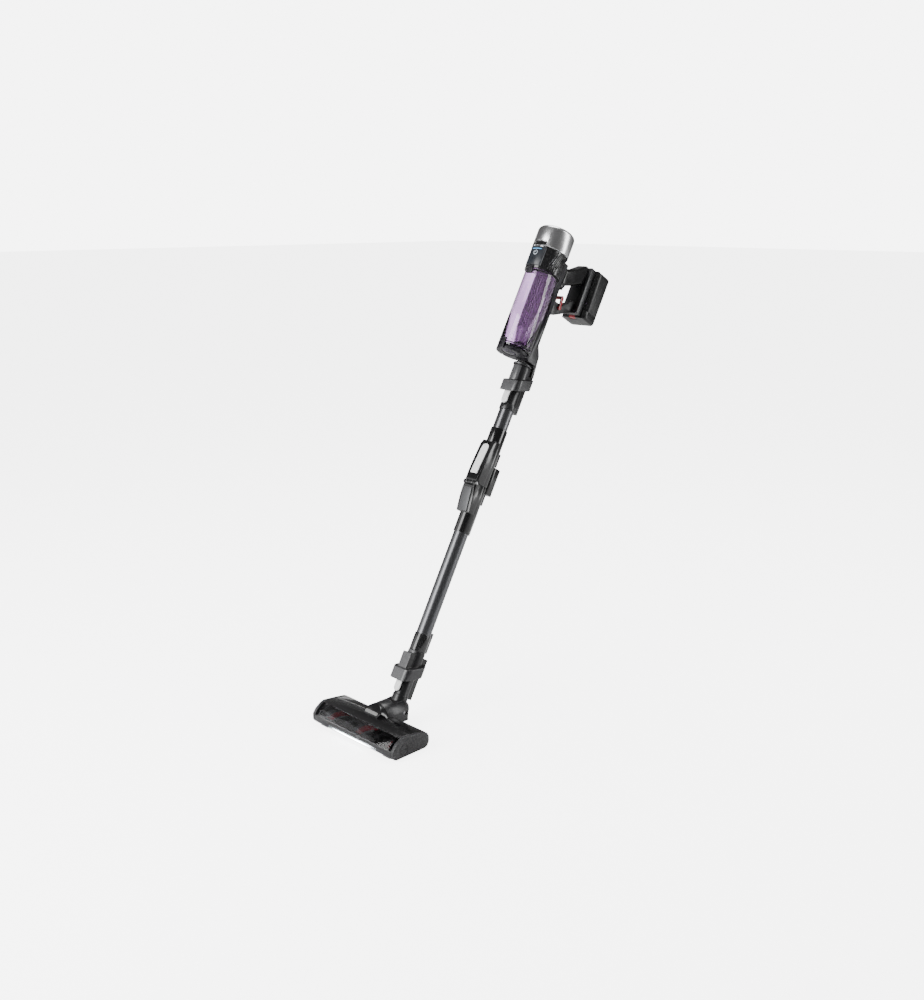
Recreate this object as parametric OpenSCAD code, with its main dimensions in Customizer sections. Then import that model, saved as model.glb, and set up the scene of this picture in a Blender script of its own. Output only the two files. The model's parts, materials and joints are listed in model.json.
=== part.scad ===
// Cordless stick vacuum: floor head, folding wand, hand-held motor pod, bin and battery.
// World frame: +X along the head, +Y towards the user, +Z up, floor at z = 0.
// Stick frame: origin on the neck's pitch axis, z up the stick, y out of its back.

/* [Stance] */
// Lean of the stick back from the vertical
tilt = 29.5; // [15:0.5:45]
// Distance of the neck's pitch axis behind the head's own origin
pivot_y = 44.2; // [42:0.2:50]
// Height of the neck's pitch axis
pivot_z = 35; // [34:0.5:40]

/* [Head] */
// Length of the head over its end caps
head_l = 260; // [220:2:320]
// Thickness of each end cap
cap_t = 8; // [6:0.5:10]
// Thickness of the head's shells
head_wall = 2.2; // [1.6:0.2:3]
// Depth of the head's outline from front to back
head_d = 99; // [94:1:104]
// Height of the head's outline
head_h = 45.5; // [44:0.5:50]
// Radius to the tips of the bristles
roller_r = 18.5; // [17:0.5:19]
// Radius of the roller's core
core_r = 12.5; // [10:0.5:14]
// Lead of the bristle helix along the roller
bristle_lead = 90; // [70:5:140]
// Radius of the rear wheels
wheel_r = 8; // [7:0.5:9]
// Radius of the neck's swivel drum
drum_r = 31; // [29:0.5:32]
// Height of the swivel axis
drum_z = 32; // [31:0.5:34]

/* [Wand] */
// Outer radius of the metal tubes
tube_r = 16.5; // [15:0.25:18]
// Wall of the metal tubes
tube_wall = 1.2; // [0.8:0.1:1.8]
// Where the lower metal tube starts along the stick
low_tube_k = 140; // [130:1:150]
// Visible length of the lower metal tube
low_tube_l = 262; // [200:2:320]
// Visible length of the upper metal tube
high_tube_l = 46; // [40:2:80]
// Half width of the folding joint
joint_hw = 19; // [18.5:0.5:22]
// Radius of the folding joint's pin
joint_pin_r = 2.5; // [2:0.25:3]
// Width of the flared collars across their flats
collar_w = 54; // [53:0.5:60]
// Slant of the flared collars
collar_slant = 22; // [10:1:22]

/* [Motor pod and bin] */
// Gap between the stick's axis and the bin's outer wall
pod_reach = 9.5; // [9.5:0.5:16]
// Outer radius of the clear bin
bin_r = 37.5; // [36:0.5:39]
// Height of the clear bin
bin_h = 186; // [150:2:210]
// Wall of the clear bin
bin_wall = 2; // [1.6:0.2:3]
// Step from the bin's wall out to the black motor housing
body_step = 3.5; // [3:0.5:5]
// Height of the black motor housing
body_h = 52; // [50:1:60]
// Step from the motor housing out to the silver cap
cap_step = 1.5; // [1:0.5:3]
// Height of the silver cap
cap_h = 53; // [50:1:72]
// Radius of the fins of the cyclone
cyclone_r = 21; // [18:0.5:22]
// Number of fins round the cyclone
fin_count = 24; // [16:2:32]

/* [Grip and battery] */
// Half width of the spine
spine_hw = 15; // [13.5:0.5:17]
// Half width of the grip
grip_hw = 16; // [14:0.5:18]
// Half width of the battery
battery_hw = 35; // [32:0.5:38]
// Height of the battery
battery_h = 118; // [110:1:130]
// Depth of the battery
battery_d = 49; // [44:1:54]

/* [Fits] */
// Gap between a shaft and its bore
run_gap = 0.06; // [0.03:0.01:0.1]
// Gap between pieces that move past each other
move_gap = 0.4; // [0.35:0.05:0.6]

/* [Hidden] */
$fn = 64;
e = 0.01;
far = 400;

// Stations along the stick
low_tube_end = low_tube_k + low_tube_l;
mid_k = low_tube_end + 112;
high_tube_k = mid_k + 134;
high_tube_end = high_tube_k + high_tube_l;
socket_k = high_tube_end + 59;
inlet_k = socket_k + 43;
bin_k = inlet_k + 19;
body_k = bin_k + bin_h;
cap_k = body_k + body_h;
top_k = cap_k + cap_h;

// Head
half_l = head_l / 2;
inner_l = half_l - cap_t;
roller_y = -51;
roller_z = roller_r + 1;
chamber_r = roller_r + 2;
rear_y = head_d - 79;
head_top = head_h;
belt_x = inner_l - 14;
brush_end = belt_x - 3;
pulley_r = 8;
motor_pulley_r = 5;
motor_y = -9;
motor_z = 20;
wheel_x = half_l - 54;
wheel_y = rear_y - 11;
led_hw = head_l * 0.29;
trunnion_r = 13;
saddle_gap = 0.35;
drum_front = -2.6;
hood_front = -27;
hood_hw = 21;
drum_back = pivot_y + 9;
barrel_r = 23.5;
barrel_hw = tube_r + 1;
pitch_pin_r = 4;

// Couplings
stem_r = tube_r - 0.5;
stem_bore = tube_r - 3.5;
rail_hw = 9;
low_collar_k = 84;
high_collar_k = socket_k + 4;
conn_r = tube_r + 0.5;
tongue_hw = 8;
tongue_l = 44;
high_tongue_k = high_tube_end + 12;
low_tongue_k = 37;

// Pod
capsule_k = body_h + 5;
body_r = bin_r + body_step;
cap_r = body_r + cap_step;
pod_n = -bin_r - pod_reach;
spine_front = pod_n + bin_r + move_gap;
spine_back = 9;
door_y = 5;
door_barrel_r = 4.1;
// Travel that the pocket of the folding joint's button leaves it
press_deg = 3.6;
duct_hw = spine_hw - 3.5;
grip_k = cap_k - 25;
trigger_n = 22;
trigger_k = grip_k - 15;
cradle_n = 79;
battery_n = 95;
battery_k = cap_k - 85;
lever_n = 34;
lever_k = battery_k - 6;

// Places its children in the stick frame
module stick() { translate([0, pivot_y, pivot_z]) rotate([-tilt, 0, 0]) children(); }

// Places its children on the pod's own axis, in the stick frame
module pod(k = 0) { stick() translate([0, pod_n, k]) children(); }

// Cylinder along X, centred on [y, z], from x0 to x1
module rod_x(r, y, z, x0, x1) { translate([x0, y, z]) rotate([0, 90, 0]) cylinder(r = r, h = x1 - x0); }

// Cylinder along Y, centred on [x, z], from y0 to y1
module rod_y(r, x, z, y0, y1) { translate([x, y0, z]) rotate([-90, 0, 0]) cylinder(r = r, h = y1 - y0); }

// Tube along Z
module pipe(r, bore, h) {
    difference() {
        cylinder(r = r, h = h);
        translate([0, 0, -1]) cylinder(r = bore, h = h + 2);
    }
}

// Box given by its lower and upper limits on each axis
module block(x0, x1, y0, y1, z0, z1) { translate([x0, y0, z0]) cube([x1 - x0, y1 - y0, z1 - z0]); }

// Side outline, drawn as [y, z] points, extruded along X over +-hw
module side_shape(points, hw) {
    translate([-hw, 0, 0]) rotate([90, 0, 90]) linear_extrude(2 * hw) polygon(points);
}

// Flat plate across X with round corners, drawn in the XY plane
module round_plate(w, d, r, h) {
    linear_extrude(h) {
        square([w - 2 * r, d], center = true);
        square([w, d - 2 * r], center = true);
        for (sx = [-1, 1], sy = [-1, 1]) translate([sx * (w / 2 - r), sy * (d / 2 - r)]) circle(r = r);
    }
}

// ---------- Floor head ----------

// Outline of the head seen from its end, pulled in by an amount
function head_outline(inset = 0) = [
    [-70, 2.5 + inset], [-76 + inset, 5 + inset], [-79 + inset, 10], [-79 + inset, 23],
    [-72.5 + inset, 32.5 - inset / 2], [-63 + inset / 2, head_top - 6 - inset],
    [-56, head_top - 2 - inset], [-48, head_top - inset], [-14, head_top - 4 - inset],
    [rear_y - 12, head_top - 7.5 - inset], [rear_y - 5 - inset / 2, head_top - 11 - inset / 2],
    [rear_y - inset, 26], [rear_y - inset, 14], [rear_y - 5 - inset / 2, 5 + inset], [rear_y - 12, 2.5 + inset]
];

module head_solid(inset = 0, hw = 0) { side_shape(head_outline(inset), hw); }

// Space swept by the swivel drum, with room round it
module drum_space(gap) { rod_y(drum_r + gap, 0, drum_z, drum_front - gap, drum_back + far); }

module head_base() {
    color("#2b2c2f") difference() {
        intersection() {
            head_solid(0, inner_l);
            union() {
                block(-far, far, -far, far, 0, 22);
                block(-far, far, -30, far, 0, 26);
            }
        }
        // Brush chamber, its mouth and the bay for the belt
        rod_x(chamber_r, roller_y, roller_z, -inner_l + 7, brush_end + 1.5);
        block(-inner_l + 7, brush_end + 1.5, roller_y - 16, roller_y + 17, -1, 12);
        block(-inner_l + 7, brush_end + 1.5, roller_y - chamber_r + 2, roller_y + chamber_r - 2, 10, 30);
        block(belt_x - 1, inner_l - 6, roller_y - 14, motor_y + 12, 5, 40);
        rod_x(4 + run_gap, roller_y, roller_z, -inner_l - 1, -inner_l + 8);
        rod_x(4 + run_gap, roller_y, roller_z, inner_l - 7, inner_l + 1);
        rod_x(6, roller_y, roller_z, brush_end, belt_x);
        // Seat of the brush motor and the way of its shaft
        rod_x(12 + move_gap, motor_y, motor_z, belt_x - 66.5, belt_x - 3.5);
        rod_x(2.5, motor_y, motor_z, belt_x - 4, belt_x);
        // Rear rooms and the space of the drum
        for (s = [-1, 1]) mirror([s < 0 ? 1 : 0, 0, 0]) {
            block(37, belt_x - 3, -27, rear_y - 4, 13, 40);
            block(wheel_x - 6.5, wheel_x + 6.5, wheel_y - wheel_r - 1, wheel_y + wheel_r + 1, -1, 20);
            rod_x(1.5, wheel_y, wheel_r, wheel_x - 10, wheel_x + 10);
        }
        block(-34, 34, -26, rear_y - 6, 5.5, 40);
        drum_space(saddle_gap);
        // Seat of the lamp and the squeegee's groove
        block(-led_hw - e, led_hw + e, -80, -75.4, 7, 13.5);
        block(-inner_l + 9, brush_end - 1, roller_y + 18.2, roller_y + 20.8, -1, 7);
    }
}

// Hood that rises from a narrow toe at the front to the round back of the drum
module hood(r, wall) {
    intersection() {
        rod_y(r, 0, drum_z, hood_front + wall, -3 + wall);
        side_shape([[hood_front + wall, 30], [hood_front + wall, head_top + 0.5 - wall],
            [hood_front + 20 + wall / 2, drum_z + r], [0, drum_z + r], [0, 30]], drum_r + 1);
        linear_extrude(90) polygon([[-hood_hw + wall, hood_front], [hood_hw - wall, hood_front],
            [drum_r + 1 - wall, -6], [drum_r + 1 - wall, 0], [-drum_r - 1 + wall, 0], [-drum_r - 1 + wall, -6]]);
    }
}

module head_cover() {
    color("#1c1d20") difference() {
        union() {
            difference() {
                head_solid(0, inner_l);
                head_solid(head_wall, inner_l - head_wall);
                block(-far, far, -far, -54, -far, far);
                block(-far, far, -54, -30, -far, 22.3);
                block(-far, far, -30 - e, far, -far, 26.3);
            }
            // Hood over the swivel bearing
            hood(drum_r + 0.5, 0);
        }
        hood(drum_r - 2, 2.4);
        rod_x(6, roller_y, roller_z, -far, far);
        drum_space(saddle_gap + 0.2);
    }
}

module head_window() {
    color("#7d7c84", 0.45) difference() {
        head_solid(0.15, inner_l - 7);
        head_solid(head_wall + 0.1, inner_l);
        block(-far, far, -54.3, far, -far, far);
        block(-far, far, -far, far, -far, 22.4);
    }
}

module led_lens() { color("white") block(-led_hw, led_hw, -79.8, -77.2, 8, 12.5); }

module led_board() {
    color("#d8dde0") union() {
        block(-led_hw, led_hw, -76.8, -75.6, 7.4, 13);
        for (i = [-3:3]) block(i * led_hw / 3.4 - 2, i * led_hw / 3.4 + 2, -77.2, -76.8 + e, 9, 11.5);
    }
}

module end_cap(s) {
    mirror([s < 0 ? 1 : 0, 0, 0]) difference() {
        translate([inner_l + cap_t / 2 + 0.1, 0, 0]) head_solid(0.3, cap_t / 2 - 0.1);
        if (s > 0) rod_x(11, roller_y, roller_z, half_l - 4, half_l + 1);
        if (s > 0) rod_x(4 + run_gap, roller_y, roller_z, inner_l - 1, half_l);
        if (s < 0) rod_x(4.2, roller_y, roller_z, inner_l - 1, inner_l + 3);
    }
}

module end_cap_right() { color("#4b4c50") end_cap(1); }

module end_cap_left() { color("#4b4c50") end_cap(-1); }

module end_knob() {
    color("#5a5b60") difference() {
        union() {
            rod_x(10.6, roller_y, roller_z, half_l - 3.6, half_l - 0.2);
            rod_x(4, roller_y, roller_z, inner_l + 0.6, half_l - 3.5);
        }
        block(half_l - 1.4, half_l, roller_y - 8, roller_y + 8, roller_z - 1.2, roller_z + 1.2);
    }
}

module roller_core() {
    color("#26262a") union() {
        rod_x(core_r, roller_y, roller_z, -inner_l + 8.5, brush_end);
        rod_x(4, roller_y, roller_z, -inner_l + 0.3, inner_l - 0.3);
    }
}

// One band of bristles, wound round the core, that fills an arc of the section
module bristle_band(start, width) {
    hb = brush_end + inner_l - 10;
    translate([-inner_l + 9, roller_y, roller_z]) rotate([0, 90, 0])
        linear_extrude(hb, twist = 360 * hb / bristle_lead, slices = ceil(hb / 4), $fn = 8)
            polygon(concat([for (i = [0:4]) (core_r + 0.25) * [cos(start + width * i / 4), sin(start + width * i / 4)]],
                [for (i = [4:-1:0]) roller_r * [cos(start + width * i / 4), sin(start + width * i / 4)]]));
}

module bristles_red() { color("#a8102c") bristle_band(0, 60); }

module bristles_black() { color("#151518") union() { bristle_band(110, 50); bristle_band(225, 50); } }

// Toothed pulley along X
module pulley(r, y, z, teeth, bore) {
    difference() {
        rod_x(r, y, z, belt_x, belt_x + 6);
        rod_x(bore, y, z, belt_x - 1, belt_x + 7);
        for (i = [0:teeth - 1]) translate([belt_x - 1, y, z]) rotate([i * 360 / teeth, 0, 0])
            translate([0, r, 0]) rotate([0, 90, 0]) cylinder(r = r * 0.16, h = 8, $fn = 16);
    }
}

module roller_pulley() { color("#c9c9c4") pulley(pulley_r, roller_y, roller_z, 16, 4); }

module motor_pulley() {
    color("#b9bcc0") union() {
        pulley(motor_pulley_r, motor_y, motor_z, 10, 1.5);
        rod_x(1.5, motor_y, motor_z, belt_x - 6, belt_x + 7);
    }
}

module brush_motor() {
    color("#9a9da2") difference() {
        rod_x(12, motor_y, motor_z, belt_x - 66, belt_x - 4);
        rod_x(1.5 + run_gap, motor_y, motor_z, belt_x - 8, belt_x);
    }
}

module drive_belt() {
    gap = 0.4;
    color("#111113") translate([belt_x + 0.5, 0, 0]) rotate([90, 0, 90]) linear_extrude(5) difference() {
        belt_outline(gap + 1.4);
        belt_outline(gap);
    }
}

// Loop round both pulleys: two circles and the wedge between their tangents
module belt_outline(grow) {
    a = atan2(motor_z - roller_z, motor_y - roller_y);
    d = norm([motor_y - roller_y, motor_z - roller_z]);
    b = acos((pulley_r - motor_pulley_r) / d);
    r0 = pulley_r + grow;
    r1 = motor_pulley_r + grow;
    translate([roller_y, roller_z]) circle(r = r0);
    translate([motor_y, motor_z]) circle(r = r1);
    polygon([
        [roller_y + r0 * cos(a + b), roller_z + r0 * sin(a + b)],
        [roller_y + r0 * cos(a - b), roller_z + r0 * sin(a - b)],
        [motor_y + r1 * cos(a - b), motor_z + r1 * sin(a - b)],
        [motor_y + r1 * cos(a + b), motor_z + r1 * sin(a + b)]
    ]);
}

module wheel(s) {
    difference() {
        rod_x(wheel_r, wheel_y, wheel_r, s * wheel_x - 5, s * wheel_x + 5);
        rod_x(1.5 + run_gap, wheel_y, wheel_r, s * wheel_x - 6, s * wheel_x + 6);
        for (i = [-3.2, 2.4]) translate([s * wheel_x + i, wheel_y, wheel_r]) rotate([0, 90, 0])
            pipe(wheel_r + 1, wheel_r - 0.5, 0.8);
    }
}

module wheel_right() { color("#3a3a3d") wheel(1); }

module wheel_left() { color("#3a3a3d") wheel(-1); }

module wheel_axles() {
    color("silver") for (s = [-1, 1]) rod_x(1.5, wheel_y, wheel_r, s * wheel_x - 10, s * wheel_x + 10);
}

module squeegee() {
    color("#18181a") block(-inner_l + 9.1, brush_end - 1.1, roller_y + 18.3, roller_y + 20.7, 0.8, 6.9);
}

module glide_pads() {
    color("#8b8b8f") for (s = [-1, 1]) translate([s * (half_l - 30), -69.7, 0]) round_plate(24, 4.6, 2, 2.5);
}

module swivel_bearing() {
    color("#3d3e42") difference() {
        union() {
            rod_y(17.5, 0, drum_z, -15.5, -6);
            block(-14, 14, -15.5, -6, 5.5, drum_z);
        }
        rod_y(trunnion_r + run_gap, 0, drum_z, -21, -5);
    }
}

module hood_plate() {
    slope = atan2(drum_z + drum_r - head_top, 20);
    color("#d9d9d6") translate([0, hood_front, head_top + 0.5]) rotate([slope, 0, 0])
        translate([0, 5.2, 0.1]) round_plate(2 * hood_hw - 4, 7, 3, 1.2);
}

// ---------- Neck ----------

module neck_drum() {
    color("#232428") difference() {
        union() {
            intersection() {
                rod_y(drum_r, 0, drum_z, drum_front, drum_back);
                block(-far, far, drum_front, drum_back, drum_z - 10, far);
            }
            intersection() {
                rod_y(drum_r + 3, 0, drum_z, rear_y + 1, drum_back);
                block(-drum_r + 1, drum_r - 1, rear_y + 1, drum_back, drum_z - 16, drum_z);
            }
            rod_y(trunnion_r, 0, drum_z, -17.5, drum_front + 1);
            rod_y(trunnion_r + 2.5, 0, drum_z, -5.4, drum_front + 1);
        }
        // Airway, the room of the stem's barrel and the pin
        rod_y(trunnion_r - 3, 0, drum_z, -30, pivot_y - 5);
        rod_x(barrel_r + move_gap, pivot_y, pivot_z, -barrel_hw - move_gap, barrel_hw + move_gap);
        block(-barrel_hw - move_gap, barrel_hw + move_gap, pivot_y, far, -far, far);
        // Room for the stem when the stick stands upright
        block(-barrel_hw - move_gap, barrel_hw + move_gap, pivot_y - stem_r - 2, far, pivot_z + 10, far);
        rod_x(pitch_pin_r, pivot_y, pivot_z, -drum_r - 1, drum_r + 1);
    }
}

module pitch_pin() { color("silver") rod_x(pitch_pin_r, pivot_y, pivot_z, -drum_r + 3, drum_r - 3); }

// Rear rail that carries the contacts of a coupling
module contact_rail(k0, k1) { block(-rail_hw, rail_hw, 12, 27, k0, k1); }

module neck_stem() {
    color("#2a2b2f") difference() {
        union() {
            rod_x(barrel_r, pivot_y, pivot_z, -barrel_hw, barrel_hw);
            stick() {
                translate([0, 0, 10]) cylinder(r = stem_r, h = 110);
                translate([0, 0, 12]) cylinder(r = stem_r + 1.3, h = 20);
                contact_rail(27, 112);
            }
        }
        stick() translate([0, 0, 12]) cylinder(r = stem_bore, h = 120);
        stick() tongue_pocket(low_tongue_k);
        rod_x(pitch_pin_r + run_gap, pivot_y, pivot_z, -30, 30);
        rod_y(trunnion_r - 3, 0, drum_z, 0, pivot_y);
    }
}

// Flat in the front of a male connector that gives the tongue its travel
module tongue_pocket(k0) { block(-tongue_hw - 0.6, tongue_hw + 0.6, -25, -14.6, k0 - 2, k0 + tongue_l + 3); }

// Sprung release tongue on the front of a male connector
module release_tongue(k0) {
    union() {
        translate([0, -18.2, k0 + tongue_hw]) rotate([90, 0, 0]) cylinder(r = tongue_hw, h = 3.4);
        block(-tongue_hw, tongue_hw, -21.6, -18.2, k0 + tongue_hw, k0 + tongue_l);
        block(-tongue_hw, tongue_hw, -18.3, -15.2, k0 + tongue_l - 9, k0 + tongue_l);
        rod_x(2, -17.4, k0 + tongue_l - 5, -tongue_hw, tongue_hw);
    }
}

module lower_release() { color("white") stick() release_tongue(low_tongue_k); }

// ---------- Couplings and wand ----------

// Flared, slanted collar with its throat along the stick, k is its middle at the stick's axis
module flared_collar(k, off, half_t) {
    difference() {
        intersection() {
            translate([0, off, k - 60]) round_plate(collar_w, collar_w, 14, 120);
            translate([0, off, k]) rotate([collar_slant, 0, 0]) block(-60, 60, -60, 60, -half_t, half_t);
        }
        translate([0, 0, k - 70]) cylinder(r = conn_r + move_gap, h = 140);
        block(-tongue_hw - 1, tongue_hw + 1, -24.5, 0, k - 70, k + 70);
        block(-rail_hw - move_gap, rail_hw + move_gap, 0, 27 + move_gap, k - 70, k + 70);
    }
}

module lower_collar() {
    color("#3c3d41") stick() union() {
        flared_collar(low_collar_k, -5, 12);
        difference() {
            union() {
                translate([0, 0, low_collar_k + 6]) cylinder(r = tube_r + 2.5, h = 41);
                block(-13, 13, -28, 0, low_collar_k, low_collar_k + 39);
                block(-12, 12, 0, 30, low_collar_k + 6, low_collar_k + 36);
            }
            translate([0, 0, low_collar_k - 1]) cylinder(r = conn_r + move_gap, h = 38);
            translate([0, 0, low_collar_k - 1]) cylinder(r = stem_bore + 1, h = 60);
            translate([0, 0, low_tube_k - 10]) cylinder(r = tube_r, h = 20);
            block(-tongue_hw - 1, tongue_hw + 1, -24.5, 0, low_collar_k - 1, low_collar_k + 12);
            block(-rail_hw - move_gap, rail_hw + move_gap, 0, 27 + move_gap, low_collar_k - 1, low_collar_k + 30);
        }
    }
}

module lower_cuff() {
    color("#1f2023") stick() difference() {
        union() {
            translate([0, 0, low_tube_k - 8.9]) cylinder(r = tube_r + 1.8, h = 38);
            block(-8, 8, 12, 23, low_tube_k - 8.9, low_tube_k + 37);
        }
        translate([0, 0, low_tube_k - 10]) cylinder(r = tube_r, h = 60);
    }
}

module lower_tube() {
    color("#55565b") stick() translate([0, 0, low_tube_k - 9])
        pipe(tube_r, tube_r - tube_wall, low_tube_l + 60);
}

// Side outline of the joint's lower and upper halves
function lower_half() = [[-19, mid_k - 66], [-21, mid_k - 64], [-31, mid_k - 8], [-31, mid_k - 0.3],
    [joint_hw, mid_k - 0.3], [joint_hw, mid_k - 66]];
function upper_half() = [[-31, mid_k + 0.3], [-31, mid_k + 9], [-22, mid_k + 92], [-17, mid_k + 102],
    [joint_hw, mid_k + 102], [joint_hw, mid_k + 0.3]];
hinge_n = -27;
button_hw = 9.6;
button_l = 62;

// Section of the joint's housings: round at the back, with a soft-cornered front
module joint_section(h) {
    cylinder(r = joint_hw, h = h);
    translate([0, -16, 0]) round_plate(2 * joint_hw, 32, 7, h);
}

module joint_lower() {
    hw = joint_hw;
    color("#1e1f22") stick() difference() {
        union() {
            difference() {
                union() {
                    translate([0, 0, mid_k - 110]) cylinder(r = tube_r + 1.8, h = 60);
                    block(-7, 7, 12, 21, mid_k - 110, mid_k - 50);
                    intersection() {
                        side_shape(lower_half(), hw + 3);
                        translate([0, 0, mid_k - 66]) joint_section(66);
                    }
                }
                rod_x(5.9, hinge_n, mid_k, -8.4, 8.4);
            }
            for (s = [-1, 1]) rod_x(5, hinge_n, mid_k, s > 0 ? 8.4 : -hw, s > 0 ? hw : -8.4);
            // Rear guard of the hose
            difference() {
                translate([0, 21, mid_k - 12]) round_plate(36, 28, 9, 62);
                translate([0, 0, mid_k - 0.3]) cylinder(r = hw + move_gap, h = 60);
            }
            translate([0, 13, mid_k - 38]) round_plate(24, 21, 6, 27);
        }
        translate([0, 0, mid_k - 112]) cylinder(r = tube_r, h = 60);
        translate([0, 0, mid_k - 60]) cylinder(r = 14.5, h = 80);
        translate([0, 0, mid_k - 32]) cylinder(r = 17.2, h = 60);
        rod_x(joint_pin_r, hinge_n, mid_k, -hw - 1, hw + 1);
    }
}

module joint_panel() {
    slope = atan2(10, 58);
    color("#a9abb0") stick() translate([0, -21.1, mid_k - 66]) rotate([slope, 0, 0])
        block(-12.5, 12.5, -2.2, -0.05, 2, 55);
}

module joint_pin() { color("silver") stick() rod_x(joint_pin_r, hinge_n, mid_k, -joint_hw + 0.6, joint_hw - 0.6); }

module flex_hose() {
    color("#131315") stick() translate([0, 0, mid_k - 30]) difference() {
        union() {
            cylinder(r = 13.8, h = 60);
            for (i = [0:9]) translate([0, 0, i * 6 + 1.2]) cylinder(r = 16, h = 3.4);
        }
        translate([0, 0, -1]) cylinder(r = 12, h = 62);
    }
}

module joint_upper() {
    hw = joint_hw;
    slope = atan2(10, 95);
    color("#1e1f22") stick() difference() {
        union() {
            difference() {
                union() {
                    intersection() {
                        side_shape(upper_half(), hw + 3);
                        translate([0, 0, mid_k]) joint_section(110);
                    }
                    translate([0, 0, mid_k + 100]) cylinder(r = tube_r + 2.4, h = 34);
                }
                for (s = [-1, 1]) rod_x(5.9, hinge_n, mid_k, s > 0 ? 7.6 : -hw - 1, s > 0 ? hw + 1 : -7.6);
            }
            rod_x(5, hinge_n, mid_k, -7.6, 7.6);
            translate([0, 14, mid_k + 53]) round_plate(24, 20, 6, 30);
        }
        translate([0, 0, mid_k + 76]) cylinder(r = tube_r, h = 60);
        translate([0, 0, mid_k - 10]) cylinder(r = 14.5, h = 100);
        translate([0, 0, mid_k - 10]) cylinder(r = 17.2, h = 42);
        rod_x(joint_pin_r + run_gap, hinge_n, mid_k, -hw - 1, hw + 1);
        // Pocket of the button, deeper at its free end
        translate([0, -31, mid_k + 9]) rotate([-slope, 0, 0])
            side_shape([[-4, 11], [1.9 + (4 + button_l) * tan(press_deg), 11],
                [3.2, 15 + button_l - 1.3 / tan(press_deg)], [3.2, 22 + button_l], [-4, 22 + button_l]],
                button_hw + 0.6);
    }
}

module flex_button() {
    slope = atan2(10, 95);
    color("white") stick() translate([0, -31, mid_k + 9]) rotate([-slope, 0, 0]) union() {
        block(-button_hw, button_hw, -1.6, 1.4, 12, 12 + button_l);
        translate([0, 1.4, 12 + button_l]) rotate([90, 0, 0]) cylinder(r = button_hw, h = 3);
        rod_x(1.5, 1, 15 + button_l, -button_hw + 2, button_hw - 2);
    }
}

module upper_tube() {
    color("#55565b") stick() translate([0, 0, mid_k + 77]) pipe(tube_r, tube_r - tube_wall, high_tube_end + 8 - mid_k - 77);
}

module upper_connector() {
    k0 = high_tube_end;
    color("#26272a") stick() difference() {
        union() {
            translate([0, 0, k0]) cylinder(r = tube_r + 1.8, h = 14);
            translate([0, 0, k0 + 13]) cylinder(r = stem_r + 0.6, h = 84);
            contact_rail(k0, k0 + 80);
        }
        translate([0, 0, k0 - 6]) cylinder(r = tube_r, h = 14.1);
        translate([0, 0, k0 + 7]) cylinder(r = stem_bore, h = 100);
        tongue_pocket(high_tongue_k);
    }
}

module upper_release() { color("white") stick() release_tongue(high_tongue_k); }

// ---------- Motor pod ----------

module inlet_collar() {
    color("#3c3d41") stick() union() {
        flared_collar(high_collar_k, 1, 12);
        difference() {
            union() {
                translate([0, -1, high_collar_k + 4]) cylinder(r = 20.5, h = inlet_k - high_collar_k - 2);
                translate([0, -3, inlet_k + 3]) cylinder(r = 21, h = 5);
                translate([0, -3, inlet_k]) cylinder(r = 17.6, h = 10);
                block(-14, 14, 0, 31, high_collar_k + 6, high_collar_k + 28);
            }
            translate([0, 0, high_collar_k - 1]) cylinder(r = conn_r + move_gap, h = 39);
            translate([0, 0, high_collar_k - 1]) cylinder(r = stem_bore + 1, h = 80);
            block(-tongue_hw - 1, tongue_hw + 1, -18.6, 0, high_collar_k - 1, high_collar_k + 12);
            block(-rail_hw - move_gap, rail_hw + move_gap, 0, 27 + move_gap, high_collar_k - 1, high_collar_k + 22);
        }
    }
}

module spine() {
    k0 = high_collar_k + 28.1;
    color("#57585c") stick() difference() {
        side_shape([[20.4, k0], [30, k0], [23, bin_k + 21], [spine_back, bin_k + 42], [spine_back, cap_k + 2],
            [spine_front, cap_k + 2], [spine_front, bin_k - 3], [20.4, bin_k - 3]], spine_hw);
        block(-duct_hw, duct_hw, spine_front + 3, spine_back - 3, bin_k + 6, cap_k - 8);
        rod_y(9, 0, body_k - 30, spine_front - 1, spine_front + 4);
        // Seat of the motor housing and the silver cap
        translate([0, pod_n, body_k]) cylinder(r = body_r, h = body_h + 20);
        translate([0, pod_n, cap_k]) cylinder(r = cap_r + 0.1, h = 20);
    }
}

module motor_housing() {
    color("#17181b") pod(body_k + 0.4) difference() {
        cylinder(r = body_r - 0.1, h = body_h - 0.4);
        translate([0, 0, 6]) cylinder(r = body_r - 3, h = body_h);
        translate([0, 0, -1]) cylinder(r = 24, h = 10);
        translate([0, 0, -0.4]) capsule(7.7, cap_r - 12, cap_r + 5);
        for (s = [-1, 1], i = [0:7]) rotate([0, 0, s * (62 + i * 7)])
            translate([0, -body_r, 30]) rotate([0, s * 18, 0]) cube([1.6, 12, 34], center = true);
    }
}

// Half section of the silver cap's outer skin, with a rounded top edge
function cap_outline(r, h, edge) = concat([[0, 0], [r, 0]],
    [for (i = [0:8]) [r - edge + edge * cos(i * 11.25), h - edge + edge * sin(i * 11.25)]], [[0, h]]);

module motor_cap() {
    color("silver") pod(cap_k + 0.3) difference() {
        rotate_extrude($fn = 96) polygon(cap_outline(cap_r, cap_h - 0.3, 9));
        translate([0, 0, -e]) rotate_extrude($fn = 96) polygon(cap_outline(cap_r - 2.4, cap_h - 3, 8));
        translate([0, 0, -cap_k - 0.3 + body_k]) capsule(7.7, cap_r - 12, cap_r + 5);
    }
}

// Upright racetrack through the pod's front wall, from one radius to another
module capsule(r, r0, r1) {
    for (s = [-1, 1]) rod_y(r, s * 11, capsule_k, -r1, -r0);
    block(-11, 11, -r1, -r0, capsule_k - r, capsule_k + r);
}

module display_panel() {
    color("#35373c") pod(body_k) intersection() {
        difference() {
            cylinder(r = body_r + 3, h = capsule_k - 8);
            cylinder(r = body_r - 0.1 + e, h = far);
        }
        block(-21, 21, -60, 0, 5, far);
    }
}

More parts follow.
